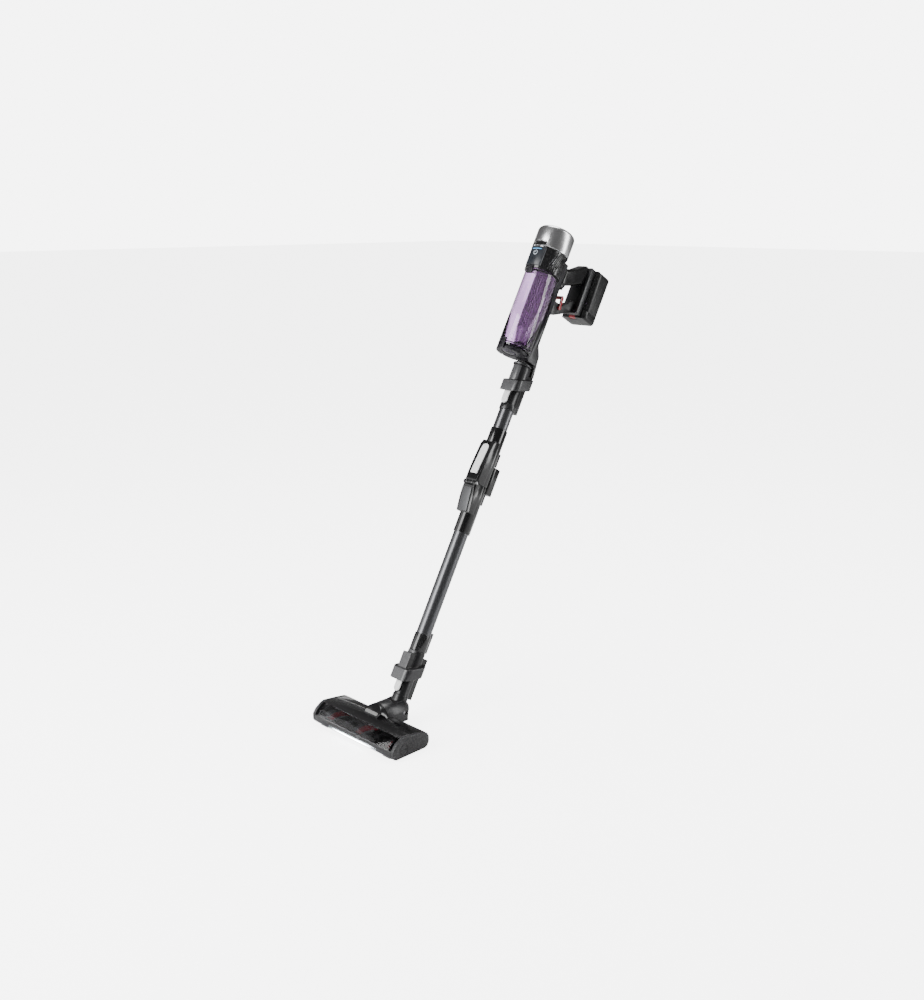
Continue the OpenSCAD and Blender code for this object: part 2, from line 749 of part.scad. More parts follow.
module capsule_bezel() {
    color("#d5d7da") pod(body_k) intersection() {
        difference() {
            capsule(7.5, cap_r - 4, cap_r + 5);
            capsule(6, cap_r - 5, cap_r + 6);
        }
        cylinder(r = cap_r + 1, h = far);
    }
}

module power_button() {
    color("#0c0c0e") pod(body_k) intersection() {
        capsule(5.6, cap_r - 6, cap_r + 5);
        cylinder(r = cap_r - 0.8, h = far);
    }
}

module pod_motor() {
    color("#8d9095") pod(body_k + 6.4) difference() {
        union() {
            cylinder(r = 27, h = 48);
            cylinder(r = body_r - 3.1, h = 4);
        }
        translate([0, 0, 40]) cylinder(r = 3 + run_gap, h = 20);
        for (i = [0:5]) rotate([0, 0, i * 60]) translate([20, 0, -1]) cylinder(r = 4, h = 30);
    }
}

module impeller() {
    color("#b8bcc2") pod(body_k + 48) union() {
        cylinder(r = 3, h = 14);
        translate([0, 0, 8]) cylinder(r = 26, h = 2);
        for (i = [0:8]) rotate([0, 0, i * 40]) translate([3, 0, 9.9]) rotate([0, 0, 20]) cube([21, 1.2, 8]);
        translate([0, 0, 9]) cylinder(r = 7, h = 11);
    }
}

module filter() {
    color("#e6e6e2") pod(cap_k + 26) difference() {
        cylinder(r = 34, h = cap_h - 31);
        translate([0, 0, -1]) cylinder(r = 27, h = cap_h - 34);
        for (i = [0:23]) rotate([0, 0, i * 15]) translate([34, 0, -1]) cylinder(r = 1.6, h = cap_h - 32, $fn = 16);
    }
}

// ---------- Grip, cradle and battery ----------

module grip() {
    hw = grip_hw;
    color("#1a1b1e") stick() difference() {
        union() {
            side_shape([[spine_back + 0.1, grip_k - 20], [24, grip_k - 16], [48, grip_k - 4], [cradle_n, grip_k + 14],
                [cradle_n, grip_k + 58], [70, grip_k + 58], [44, grip_k + 36], [spine_back + 0.1, grip_k + 18]], hw - 3);
            side_shape([[spine_back + 0.1, grip_k - 17], [24, grip_k - 13], [47, grip_k - 1], [cradle_n, grip_k + 18],
                [cradle_n, grip_k + 53], [70, grip_k + 53], [44, grip_k + 32], [spine_back + 0.1, grip_k + 14]], hw);
        }
        rod_x(7.4, trigger_n, trigger_k, -8.4, 8.4);
        rod_x(3 + run_gap, trigger_n, trigger_k, -9.4, 9.4);
    }
}

module cradle() {
    color("#2b2d31") stick() difference() {
        union() {
            block(-battery_hw + 12, battery_hw - 12, cradle_n + 0.1, battery_n - 0.4, battery_k + 4, battery_k + battery_h);
            // Lower arm back to the spine
            side_shape([[spine_back + 0.1, battery_k - 30], [28, battery_k - 27], [cradle_n, battery_k + 4],
                [cradle_n + 2, battery_k + 32], [cradle_n - 8, battery_k + 30], [44, battery_k + 4],
                [spine_back + 0.1, battery_k + 2]], 8);
            for (s = [-1, 1]) block(s * 16 - 2.5, s * 16 + 2.5, battery_n - 1, battery_n + 3.6, battery_k + 20, battery_k + battery_h - 8);
        }
        rod_x(1.6 + run_gap, lever_n, lever_k, -20, 20);
    }
}

module trigger() {
    color("#0a0a0c") stick() union() {
        rod_x(7, trigger_n, trigger_k, -8, 8);
        rod_x(3, trigger_n, trigger_k, -9, 9);
        block(-5, 5, trigger_n, trigger_n + 6.6, trigger_k - 10, trigger_k - 3);
    }
}

module lever() {
    color("#b3122a") stick() translate([0, lever_n, lever_k]) union() {
        rod_x(1.6, 0, 0, -12, 12);
        for (s = [-1, 1]) {
            rod_x(4.6, 0, 0, s * 10.4 - 2, s * 10.4 + 2);
            translate([s * 10.4, 0, 0]) side_shape([[-3, 2], [3, 1], [2, 23], [-3, 28], [-7, 24]], 2);
        }
        side_shape([[-5, 21], [-1, 20], [1, 25], [-4, 28]], 12.4);
    }
}

// ---------- Bin ----------

module bin_shell() {
    color("#9b7fb5", 0.4) pod(bin_k) difference() {
        union() {
            cylinder(r = bin_r, h = bin_h - 0.4);
        }
        difference() {
            translate([0, 0, -1]) cylinder(r = bin_r - bin_wall, h = bin_h + 2);
        }
        block(-60, 60, -60, 60, -1, 3);
        rod_y(9, 0, bin_h - 30, bin_r - 4, bin_r + 4);
    }
}

module bin_floor() {
    color("#232026") pod(bin_k - 6) difference() {
        union() {
            difference() {
                cylinder(r = bin_r, h = 8.9);
                translate([0, 0, 7.6]) cylinder(r = bin_r - bin_wall - 0.1, h = 9);
            }
            translate([0, 0, 7]) pipe(bin_r - bin_wall - 0.1, bin_r - bin_wall - 3, 8);
        }
        block(-60, 60, -60, door_y + door_barrel_r + move_gap, -1, 8.2);
        translate([0, 0, 6]) cylinder(r = bin_r - bin_wall - 3, h = 20);
    }
}

module bin_door() {
    color("#232026") pod(bin_k - 6) difference() {
        union() {
            intersection() {
                cylinder(r = bin_r, h = 7.4);
                block(-60, 60, -60, door_y, -1, 10);
            }
            rod_x(door_barrel_r, door_y, 4, -30, 30);
        }
        translate([0, -12, -1]) cylinder(r = 17, h = 2.4);
    }
}

module cyclone() {
    k1 = bin_h - 2;
    color("#5b2f7a") pod(bin_k) translate([0, bin_r - bin_wall - cyclone_r - 2.5, 0]) union() {
        difference() {
            union() {
                translate([0, 0, 58]) cylinder(r = cyclone_r - 3, h = k1 - 58);
                for (i = [0:fin_count - 1]) rotate([0, 0, i * 360 / fin_count])
                    block(cyclone_r - 4, cyclone_r, -0.7, 0.7, 64, k1 - 4);
                translate([0, 0, 32]) cylinder(r1 = cyclone_r - 7, r2 = cyclone_r - 1, h = 30);
                translate([0, 0, k1 - 5]) cylinder(r = cyclone_r + 2, h = 5);
            }
            translate([0, 0, 36]) cylinder(r = cyclone_r - 10, h = k1);
        }
    }
}

module door_latch() {
    color("#3a3640") pod(bin_k) union() {
        block(-5, 5, -bin_r - 3.6, -bin_r - 0.4, -6, 16);
        rod_x(2, -bin_r - 2.4, 16, -6, 6);
    }
}

module bin_latch() {
    color("#2a2730") pod(body_k) difference() {
        block(-7, 7, -body_r - 2.2, -bin_r - 0.6, -14, 4.4);
        cylinder(r = body_r + 0.4, h = 10);
    }
}

module battery() {
    color("#101114") stick() difference() {
        union() {
            translate([0, battery_n + battery_d / 2, battery_k]) round_plate(2 * battery_hw, battery_d, 12, battery_h);
        }
        for (s = [-1, 1]) block(s * 16 - 2.9, s * 16 + 2.9, battery_n - 1, battery_n + 4, battery_k + 20 - 0.4, battery_k + battery_h + 1);
        for (i = [-3:3]) block(i * 8 - 1, i * 8 + 1, battery_n + battery_d - 1.2, battery_n + battery_d + 1, battery_k - 1, battery_k + battery_h + 1);
        block(-9.4, 9.4, battery_n - 1, battery_n + 10, battery_k - 1, battery_k + 14);
    }
}

module battery_release() {
    color("#7c1020") stick() block(-9, 9, battery_n + 0.4, battery_n + 9, battery_k + 0.6, battery_k + 11);
}

head_base();
head_cover();
head_window();
led_lens();
led_board();
end_cap_right();
end_cap_left();
end_knob();
roller_core();
bristles_red();
bristles_black();
roller_pulley();
brush_motor();
motor_pulley();
drive_belt();
wheel_right();
wheel_left();
wheel_axles();
squeegee();
glide_pads();
swivel_bearing();
hood_plate();
neck_drum();
pitch_pin();
neck_stem();
lower_release();
lower_collar();
lower_cuff();
lower_tube();
joint_lower();
joint_panel();
joint_pin();
flex_hose();
joint_upper();
flex_button();
upper_tube();
upper_connector();
upper_release();
inlet_collar();
spine();
motor_housing();
motor_cap();
display_panel();
capsule_bezel();
power_button();
pod_motor();
impeller();
filter();
grip();
cradle();
trigger();
lever();
bin_shell();
bin_floor();
bin_door();
cyclone();
door_latch();
bin_latch();
battery();
battery_release();
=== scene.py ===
"""Cordless stick vacuum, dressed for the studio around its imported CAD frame.

Every length inside the classes is in millimetres; meshes are turned into metres when a piece is made.
"""

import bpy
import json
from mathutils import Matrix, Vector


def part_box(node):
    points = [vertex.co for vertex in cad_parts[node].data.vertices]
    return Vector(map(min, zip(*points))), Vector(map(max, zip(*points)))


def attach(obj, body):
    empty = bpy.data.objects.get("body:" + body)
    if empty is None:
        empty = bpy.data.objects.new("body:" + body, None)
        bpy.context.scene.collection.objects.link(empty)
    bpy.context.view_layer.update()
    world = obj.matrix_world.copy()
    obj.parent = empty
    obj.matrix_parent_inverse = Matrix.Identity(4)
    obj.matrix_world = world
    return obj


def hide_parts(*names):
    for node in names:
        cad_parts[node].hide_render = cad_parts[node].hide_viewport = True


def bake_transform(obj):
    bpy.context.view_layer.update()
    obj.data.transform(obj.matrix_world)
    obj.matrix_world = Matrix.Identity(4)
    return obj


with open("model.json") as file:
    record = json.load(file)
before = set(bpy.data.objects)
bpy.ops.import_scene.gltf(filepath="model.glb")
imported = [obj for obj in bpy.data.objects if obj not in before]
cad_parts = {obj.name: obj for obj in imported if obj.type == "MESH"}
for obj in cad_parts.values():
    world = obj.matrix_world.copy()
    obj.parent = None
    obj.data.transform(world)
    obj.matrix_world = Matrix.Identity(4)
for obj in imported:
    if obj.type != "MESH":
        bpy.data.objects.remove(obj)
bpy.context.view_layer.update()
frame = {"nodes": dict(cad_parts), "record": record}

import json
import logging
import math
import random
from collections.abc import Callable, Iterable
from dataclasses import dataclass, field
from enum import Enum

import bmesh
import bpy
from mathutils import Matrix, Vector
from mathutils.bvhtree import BVHTree

log = logging.getLogger("stick_vacuum")
MM = 0.001
CRISP_DEG = 32.0
SOFT_CRISP_DEG = 50.0
STRAY_SHARE = 0.6
STRAY_LIMIT = 0.004
ROUND_SHARES = (1.0, 0.7, 0.5, 0.35, 0.2)
MERGE_MM = 0.004
ON_AXIS = 0.0001


# ---------- Frames of reference ----------


def joint(name: str) -> dict:
    """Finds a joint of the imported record.

    Args:
        name: The joint's name.

    Returns:
        The joint's row.
    """
    return next(row for row in frame["record"]["behaviour"]["joints"] if row["name"] == name)


@dataclass(frozen=True)
class Stick:
    """The wand's own frame: z up the stick, y out of its back, origin on the neck's pitch axis."""

    pivot: Vector
    lean: float

    @classmethod
    def from_frame(cls) -> "Stick":
        """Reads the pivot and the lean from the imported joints."""
        down = Vector(joint("wand_detach")["axis"])
        return cls(Vector(joint("neck_pitch")["pos_m"]), math.atan2(-down.y, -down.z))

    @property
    def place(self) -> Matrix:
        """The stick's place in the world, in metres."""
        return Matrix.Translation(self.pivot) @ Matrix.Rotation(-self.lean, 4, "X")

    def box(self, *nodes: str) -> tuple[Vector, Vector]:
        """Measures CAD nodes along the stick.

        Args:
            nodes: The nodes' names.

        Returns:
            Lowest and highest corners in the stick's frame, in millimetres.
        """
        back = self.place.inverted()
        points = [back @ v.co / MM for name in nodes for v in frame["nodes"][name].data.vertices]
        low = Vector(min(p[i] for p in points) for i in range(3))
        high = Vector(max(p[i] for p in points) for i in range(3))
        return low, high


def world_box(*nodes: str) -> tuple[Vector, Vector]:
    """Gives the box of CAD nodes in the world.

    Args:
        nodes: The nodes' names.

    Returns:
        Lowest and highest corners, in millimetres.
    """
    boxes = [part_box(name) for name in nodes]
    low = Vector(min(b[0][i] for b in boxes) / MM for i in range(3))
    high = Vector(max(b[1][i] for b in boxes) / MM for i in range(3))
    return low, high


STICK = Stick.from_frame()
WORLD = Matrix.Identity(4)


# ---------- Shared effects ----------


class Way(Enum):
    """The side of a shader group that a socket is on."""

    IN = "INPUT"
    OUT = "OUTPUT"


class Effect:
    """A shader group with named inputs and outputs, built once and placed in many finishes."""

    made: dict[str, bpy.types.NodeTree] = {}

    def __init__(self, name: str) -> None:
        """Starts an empty group.

        Args:
            name: The group's name.
        """
        self.tree = bpy.data.node_groups.new(name, "ShaderNodeTree")
        self.tree_in = self.tree.nodes.new("NodeGroupInput")
        self.tree_out = self.tree.nodes.new("NodeGroupOutput")
        coords = self.tree.nodes.new("ShaderNodeTexCoord")
        self.where = coords.outputs["Object"]
        Effect.made[name] = self.tree

    def socket(self, name: str, way: Way, default: float | None = None) -> None:
        """Adds a socket that carries a number.

        Args:
            name: The socket's name.
            way: The side it is on.
            default: Its value when nothing is linked.
        """
        made = self.tree.interface.new_socket(name=name, in_out=way.value, socket_type="NodeSocketFloat")
        if default is not None:
            made.default_value = default

    def node(self, kind: str, **settings: object) -> bpy.types.Node:
        """Adds a node.

        Args:
            kind: Its type.
            settings: Properties to set on it.

        Returns:
            The node.
        """
        made = self.tree.nodes.new(kind)
        for key, value in settings.items():
            setattr(made, key, value)
        return made

    def link(self, source: bpy.types.NodeSocket, target: bpy.types.NodeSocket) -> None:
        """Joins an output to an input."""
        self.tree.links.new(source, target)

    def noise(self, scale: float, detail: float = 3.0, stretch: Vector | None = None) -> bpy.types.NodeSocket:
        """Adds a noise on Object coordinates.

        Args:
            scale: Waves per metre.
            detail: Octaves.
            stretch: Scale along each axis.

        Returns:
            The noise's value.
        """
        texture = self.node("ShaderNodeTexNoise")
        texture.inputs["Scale"].default_value = scale
        texture.inputs["Detail"].default_value = detail
        where = self.where
        if stretch is not None:
            mapping = self.node("ShaderNodeMapping")
            mapping.inputs["Scale"].default_value = stretch
            mapping.inputs["Rotation"].default_value = (STICK.lean, 0.0, 0.0)
            self.link(where, mapping.inputs["Vector"])
            where = mapping.outputs["Vector"]
        self.link(where, texture.inputs["Vector"])
        return texture.outputs["Fac"]

    def math(self, operation: str, a: object, b: object, clamp: bool = False) -> bpy.types.NodeSocket:
        """Adds a Math node.

        Args:
            operation: The Math node's operation.
            a: A number or a socket.
            b: A number or a socket.
            clamp: Keeps the result in 0..1.

        Returns:
            The result.
        """
        made = self.node("ShaderNodeMath", operation=operation, use_clamp=clamp)
        for i, value in enumerate((a, b)):
            if isinstance(value, bpy.types.NodeSocket):
                self.link(value, made.inputs[i])
            else:
                made.inputs[i].default_value = value
        return made.outputs[0]

    def ramp(self, value: bpy.types.NodeSocket, low: float, high: float) -> bpy.types.NodeSocket:
        """Stretches a range to 0..1.

        Args:
            value: What is stretched.
            low: Turned to 0.
            high: Turned to 1.

        Returns:
            The stretched value.
        """
        made = self.node("ShaderNodeMapRange", clamp=True)
        made.inputs["From Min"].default_value = low
        made.inputs["From Max"].default_value = high
        self.link(value, made.inputs["Value"])
        return made.outputs["Result"]


def moulded_grain() -> bpy.types.NodeTree:
    """Fine pebbled skin of moulded plastic: a height, and a slow mottle that shifts gloss.

    Returns:
        The group's nodes.
    """
    fx = Effect("moulded_grain")
    fx.socket("Fineness", Way.IN, 1.0)
    fx.socket("Height", Way.OUT)
    fx.socket("Mottle", Way.OUT)
    fine = fx.noise(2600.0, 2.0)
    cells = fx.node("ShaderNodeTexVoronoi", feature="SMOOTH_F1")
    cells.inputs["Scale"].default_value = 1700.0
    fx.link(fx.where, cells.inputs["Vector"])
    both = fx.math("ADD", fine, cells.outputs["Distance"])
    fx.link(fx.math("MULTIPLY", both, fx.tree_in.outputs["Fineness"]), fx.tree_out.inputs["Height"])
    fx.link(fx.ramp(fx.noise(38.0, 4.0), 0.35, 0.68), fx.tree_out.inputs["Mottle"])
    return fx.tree


def edge_wear() -> bpy.types.NodeTree:
    """Rubbed edges: a mask from the surface's pointiness, broken by noise.

    Returns:
        The group's nodes.
    """
    fx = Effect("edge_wear")
    fx.socket("Amount", Way.IN, 0.5)
    fx.socket("Mask", Way.OUT)
    geometry = fx.node("ShaderNodeNewGeometry")
    edge = fx.ramp(geometry.outputs["Pointiness"], 0.515, 0.58)
    broken = fx.ramp(fx.noise(420.0, 4.0), 0.42, 0.66)
    rubbed = fx.math("MULTIPLY", fx.math("MULTIPLY", edge, broken), fx.tree_in.outputs["Amount"], clamp=True)
    fx.link(rubbed, fx.tree_out.inputs["Mask"])
    return fx.tree


def settled_dust() -> bpy.types.NodeTree:
    """Thin dust on faces that look up: a mask.

    Returns:
        The group's nodes.
    """
    fx = Effect("settled_dust")
    fx.socket("Amount", Way.IN, 0.1)
    fx.socket("Mask", Way.OUT)
    geometry = fx.node("ShaderNodeNewGeometry")
    split = fx.node("ShaderNodeSeparateXYZ")
    fx.link(geometry.outputs["Normal"], split.inputs[0])
    up = fx.ramp(split.outputs["Z"], 0.2, 1.0)
    specks = fx.ramp(fx.noise(900.0, 5.0), 0.45, 0.8)
    fx.link(fx.math("MULTIPLY", fx.math("MULTIPLY", up, specks), fx.tree_in.outputs["Amount"]),
            fx.tree_out.inputs["Mask"])
    return fx.tree


def brushed_lines() -> bpy.types.NodeTree:
    """Fine lines of drawn or brushed metal, running round the stick or along it.

    Returns:
        The group's nodes.
    """
    fx = Effect("brushed_lines")
    fx.socket("Along", Way.IN, 1.0)
    fx.socket("Height", Way.OUT)
    fx.socket("Streak", Way.OUT)
    along = fx.noise(60.0, 4.0, Vector((60.0, 60.0, 0.6)))
    around = fx.noise(60.0, 4.0, Vector((0.8, 0.8, 60.0)))
    mix = fx.node("ShaderNodeMix", data_type="FLOAT")
    fx.link(fx.tree_in.outputs["Along"], mix.inputs["Factor"])
    fx.link(around, mix.inputs["A"])
    fx.link(along, mix.inputs["B"])
    fx.link(mix.outputs["Result"], fx.tree_out.inputs["Height"])
    fx.link(fx.ramp(mix.outputs["Result"], 0.3, 0.7), fx.tree_out.inputs["Streak"])
    return fx.tree


# ---------- Finishes ----------


Colour = tuple[float, float, float]
COAT_ROUGHNESS = 0.06
DUST_COLOUR: Colour = (0.42, 0.41, 0.4)
UNLIT: Colour = (0.02, 0.025, 0.03)
GRAIN_DEPTH = 0.0002


@dataclass(frozen=True)
class Finish:
    """A surface finish; build() makes its material once."""

    name: str
    slot: str
    colour: Colour
    roughness: float = 0.4
    metallic: float = 0.0
    coat: float = 0.0
    grain: float = 0.05
    wear: float = 0.4
    dust: float = 0.05
    worn: Colour = (0.16, 0.16, 0.165)
    specular: float = 0.5
    mottle: float = 0.06

    def build(self) -> bpy.types.Material:
        """Makes the material, or gives the one already made.

        Returns:
            The material.
        """
        known = bpy.data.materials.get(self.name)
        if known:
            return known
        material = bpy.data.materials.new(self.name)
        material.use_nodes = True
        material.diffuse_color = (*self.colour, 1.0)
        self.dress(material.node_tree, material.node_tree.nodes["Principled BSDF"])
        return material

    def dress(self, tree: bpy.types.NodeTree, shader: bpy.types.Node) -> None:
        """Sets the shader up and links the shared effects.

        Args:
            tree: The material's nodes.
            shader: Its Principled BSDF.
        """
        shader.inputs["Metallic"].default_value = self.metallic
        shader.inputs["Coat Weight"].default_value = self.coat
        shader.inputs["Coat Roughness"].default_value = COAT_ROUGHNESS
        shader.inputs["Specular IOR Level"].default_value = self.specular
        wear = self.place(tree, "edge_wear", Amount=self.wear)
        dust = self.place(tree, "settled_dust", Amount=self.dust)
        grain = self.place(tree, "moulded_grain", Fineness=1.0)
        worn = self.mix(tree, wear.outputs["Mask"], self.colour, self.worn)
        dusty = self.mix(tree, dust.outputs["Mask"], worn, DUST_COLOUR)
        tree.links.new(dusty, shader.inputs["Base Color"])
        self.rough(tree, shader, grain.outputs["Mottle"], dust.outputs["Mask"])
        self.bump(tree, shader, grain.outputs["Height"], self.grain)

    def rough(self, tree: bpy.types.NodeTree, shader: bpy.types.Node, mottle: bpy.types.NodeSocket,
              dust: bpy.types.NodeSocket) -> None:
        """Lets the mottle and the dust shift the roughness.

        Args:
            tree: The material's nodes.
            shader: Its Principled BSDF.
            mottle: Slow change over the surface.
            dust: Where dust lies.
        """
        spread = tree.nodes.new("ShaderNodeMapRange")
        spread.inputs["To Min"].default_value = self.roughness
        spread.inputs["To Max"].default_value = self.roughness + self.mottle
        tree.links.new(mottle, spread.inputs["Value"])
        total = tree.nodes.new("ShaderNodeMath")
        total.operation = "ADD"
        total.use_clamp = True
        tree.links.new(spread.outputs["Result"], total.inputs[0])
        tree.links.new(dust, total.inputs[1])
        tree.links.new(total.outputs[0], shader.inputs["Roughness"])

    @staticmethod
    def place(tree: bpy.types.NodeTree, effect: str, **values: float) -> bpy.types.Node:
        """Places a shared effect in a material.

        Args:
            tree: The material's nodes.
            effect: The effect's name.
            values: Its inputs.

        Returns:
            The group node.
        """
        group = tree.nodes.new("ShaderNodeGroup")
        group.node_tree = Effect.made[effect]
        for key, value in values.items():
            group.inputs[key].default_value = value
        return group

    @staticmethod
    def mix(tree: bpy.types.NodeTree, factor: bpy.types.NodeSocket, a: object, b: object) -> bpy.types.NodeSocket:
        """Mixes two colours.

        Args:
            tree: The material's nodes.
            factor: The mask.
            a: A colour or a socket, shown where the mask is 0.
            b: A colour or a socket, shown where the mask is 1.

        Returns:
            The mixed colour.
        """
        made = tree.nodes.new("ShaderNodeMix")
        made.data_type = "RGBA"
        tree.links.new(factor, made.inputs["Factor"])
        for value, key in ((a, 6), (b, 7)):
            if isinstance(value, bpy.types.NodeSocket):
                tree.links.new(value, made.inputs[key])
            else:
                made.inputs[key].default_value = (*value, 1.0)
        return made.outputs[2]

    @staticmethod
    def bump(tree: bpy.types.NodeTree, shader: bpy.types.Node, height: bpy.types.NodeSocket,
             strength: float) -> None:
        """Turns a height into the shader's normal.

        Args:
            tree: The material's nodes.
            shader: Its Principled BSDF.
            height: The height over the surface.
            strength: How strongly it shows.
        """
        made = tree.nodes.new("ShaderNodeBump")
        made.inputs["Strength"].default_value = strength
        made.inputs["Distance"].default_value = GRAIN_DEPTH
        tree.links.new(height, made.inputs["Height"])
        tree.links.new(made.outputs["Normal"], shader.inputs["Normal"])


@dataclass(frozen=True)
class Metal(Finish):
    """Brushed or drawn metal."""

    along: float = 1.0
    bright: Colour = (0.7, 0.7, 0.72)
    streaks: float = 0.25

    def dress(self, tree: bpy.types.NodeTree, shader: bpy.types.Node) -> None:
        """Sets the metal up, with its lines in colour, gloss and relief.

        Args:
            tree: The material's nodes.
            shader: Its Principled BSDF.
        """
        shader.inputs["Metallic"].default_value = self.metallic
        shader.inputs["Coat Weight"].default_value = self.coat
        lines = self.place(tree, "brushed_lines", Along=self.along)
        wear = self.place(tree, "edge_wear", Amount=self.wear)
        dust = self.place(tree, "settled_dust", Amount=self.dust)
        lit = tuple(c + (b - c) * self.streaks for c, b in zip(self.colour, self.bright))
        streaked = self.mix(tree, lines.outputs["Streak"], self.colour, lit)
        worn = self.mix(tree, wear.outputs["Mask"], streaked, self.bright)
        tree.links.new(worn, shader.inputs["Base Color"])
        self.rough(tree, shader, lines.outputs["Streak"], dust.outputs["Mask"])
        self.bump(tree, shader, lines.outputs["Height"], self.grain)


@dataclass(frozen=True)
class Clear(Finish):
    """Tinted clear plastic with painted shade: its colour turns dark where it is seen at a slant."""

    ior: float = 1.46
    # Colour of the painted shade at a slant, and the range of slant over which it comes in.
    slant_shade_colour: Colour = (0.05, 0.04, 0.06)
    slant_shade_from: float = 0.45
    slant_shade_to: float = 0.85

    def dress(self, tree: bpy.types.NodeTree, shader: bpy.types.Node) -> None:
        """Sets the clear plastic up, with faint scuffs in its gloss and painted shade towards its outline.

        Args:
            tree: The material's nodes.
            shader: Its Principled BSDF.
        """
        shader.inputs["Transmission Weight"].default_value = 1.0
        shader.inputs["IOR"].default_value = self.ior
        shader.inputs["Metallic"].default_value = 0.0
        grain = self.place(tree, "moulded_grain", Fineness=0.3)
        dust = self.place(tree, "settled_dust", Amount=self.dust)
        tint = self.mix(tree, grain.outputs["Mottle"], self.colour, tuple(c * 0.97 for c in self.colour))
        # Painted shade: the base colour is mixed towards a dark colour where the surface is seen at a slant, for the
        # dark outline of thick clear plastic.
        facing = tree.nodes.new("ShaderNodeLayerWeight")
        facing.inputs["Blend"].default_value = 0.5
        edge = tree.nodes.new("ShaderNodeMapRange")
        edge.inputs["From Min"].default_value = self.slant_shade_from
        edge.inputs["From Max"].default_value = self.slant_shade_to
        tree.links.new(facing.outputs["Facing"], edge.inputs["Value"])
        deep = self.mix(tree, edge.outputs["Result"], tint, self.slant_shade_colour)
        tree.links.new(deep, shader.inputs["Base Color"])
        self.rough(tree, shader, grain.outputs["Mottle"], dust.outputs["Mask"])
        self.bump(tree, shader, grain.outputs["Height"], self.grain)


@dataclass(frozen=True)
class Lamp(Finish):
    """A lit surface: a diode or a display mark; a fade dims it with distance from the middle, in metres."""

    strength: float = 4.0
    fade: float = 0.0
    fade_start: float = 0.45

    def dress(self, tree: bpy.types.NodeTree, shader: bpy.types.Node) -> None:
        """Sets the glow up, a little uneven across its surface.

        Args:
            tree: The material's nodes.
            shader: Its Principled BSDF.
        """
        super().dress(tree, shader)
        grain = self.place(tree, "moulded_grain", Fineness=1.0)
        glow = self.mix(tree, grain.outputs["Mottle"], self.colour, tuple(c * 0.85 for c in self.colour))
        if self.fade:
            where = tree.nodes.new("ShaderNodeTexCoord")
            split = tree.nodes.new("ShaderNodeSeparateXYZ")
            tree.links.new(where.outputs["Object"], split.inputs[0])
            away = tree.nodes.new("ShaderNodeMath")
            away.operation = "ABSOLUTE"
            tree.links.new(split.outputs["X"], away.inputs[0])
            dim = tree.nodes.new("ShaderNodeMapRange")
            dim.inputs["From Min"].default_value = self.fade * self.fade_start
            dim.inputs["From Max"].default_value = self.fade
            tree.links.new(away.outputs[0], dim.inputs["Value"])
            glow = self.mix(tree, dim.outputs["Result"], glow, UNLIT)
        tree.links.new(glow, shader.inputs["Emission Color"])
        shader.inputs["Emission Strength"].default_value = self.strength


GLOSS_BLACK = Finish("gloss_black_shell", "gloss_black", (0.003, 0.003, 0.0034), 0.16, coat=0.25, grain=0.02,
                     wear=0.25, dust=0.02)
GRAPHITE = Finish("graphite_shell", "graphite", (0.006, 0.006, 0.0068), 0.3, grain=0.1, wear=0.35, dust=0.04)
GREY_PLASTIC = Finish("grey_moulding", "grey_plastic", (0.01, 0.01, 0.011), 0.3, grain=0.07, wear=0.4,
                      worn=(0.3, 0.3, 0.31), specular=0.35)
SPINE_GREY = Finish("spine_moulding", "spine_grey", (0.018, 0.018, 0.02), 0.28, grain=0.08)
# Painted light: lighter copies of the grey plastic for the collars' front faces and side faces.
COLLAR_PAINTED_FRONT_LIGHT = Finish("collar_front_painted_light", "grey_plastic", (0.075, 0.075, 0.078), 0.25, grain=0.05)
COLLAR_PAINTED_SIDE_LIGHT = Finish("collar_side_painted_light", "grey_plastic", (0.03, 0.03, 0.032), 0.26, grain=0.05)
WHITE_PLASTIC = Finish("white_press_plate", "white_plastic", (0.93, 0.93, 0.93), 0.28, coat=0.2, grain=0.03,
                       worn=(0.6, 0.6, 0.58))
PALE_PLATE = Finish("pale_plate_paint", "pale_plate", (0.2, 0.2, 0.195), 0.35)
PANEL_SILVER = Metal("silver_panel_paint", "panel_silver", (0.07, 0.071, 0.074), 0.3, 0.6, grain=0.05,
                     bright=(0.16, 0.16, 0.165))
TUBE = Metal("anodised_tube", "tube_metal", (0.105, 0.106, 0.112), 0.27, 0.9, grain=0.08, wear=0.3,
             bright=(0.2, 0.2, 0.21))
SILVER = Metal("satin_silver", "silver_cap", (0.62, 0.62, 0.63), 0.27, 1.0, grain=0.012, along=0.0,
               bright=(0.72, 0.72, 0.72), mottle=0.02)
STEEL = Metal("turned_steel", "steel", (0.45, 0.45, 0.46), 0.28, 1.0, grain=0.1, along=0.0)
CHROME = Metal("chrome_trim", "chrome_rim", (0.75, 0.75, 0.77), 0.06, 1.0, grain=0.0, streaks=0.05)
DISPLAY = Finish("display_glass", "display", (0.016, 0.019, 0.025), 0.3, coat=0.05, grain=0.0, wear=0.0,
                 dust=0.01)
VIOLET_CLEAR = Clear("violet_clear", "clear_bin", (0.74, 0.56, 0.8), 0.02, grain=0.0, dust=0.01, wear=0.0)
SMOKE_CLEAR = Clear("smoked_clear", "window", (0.33, 0.33, 0.34), 0.05, grain=0.0, wear=0.0, ior=1.3)
VIOLET = Finish("violet_moulding", "violet_plastic", (0.05, 0.009, 0.06), 0.25, coat=0.2, grain=0.04,
                worn=(0.2, 0.1, 0.3))
BIN_DARK = Finish("bin_moulding", "bin_dark", (0.005, 0.004, 0.007), 0.36, grain=0.03, dust=0.02,
                  specular=0.2)
VIOLET_DARK = Finish("door_lens_plastic", "bin_dark", (0.012, 0.006, 0.02), 0.22, grain=0.0, specular=0.3)
VENT_GREY = Finish("vent_rib_plastic", "gloss_black", (0.03, 0.03, 0.031), 0.35, grain=0.03)
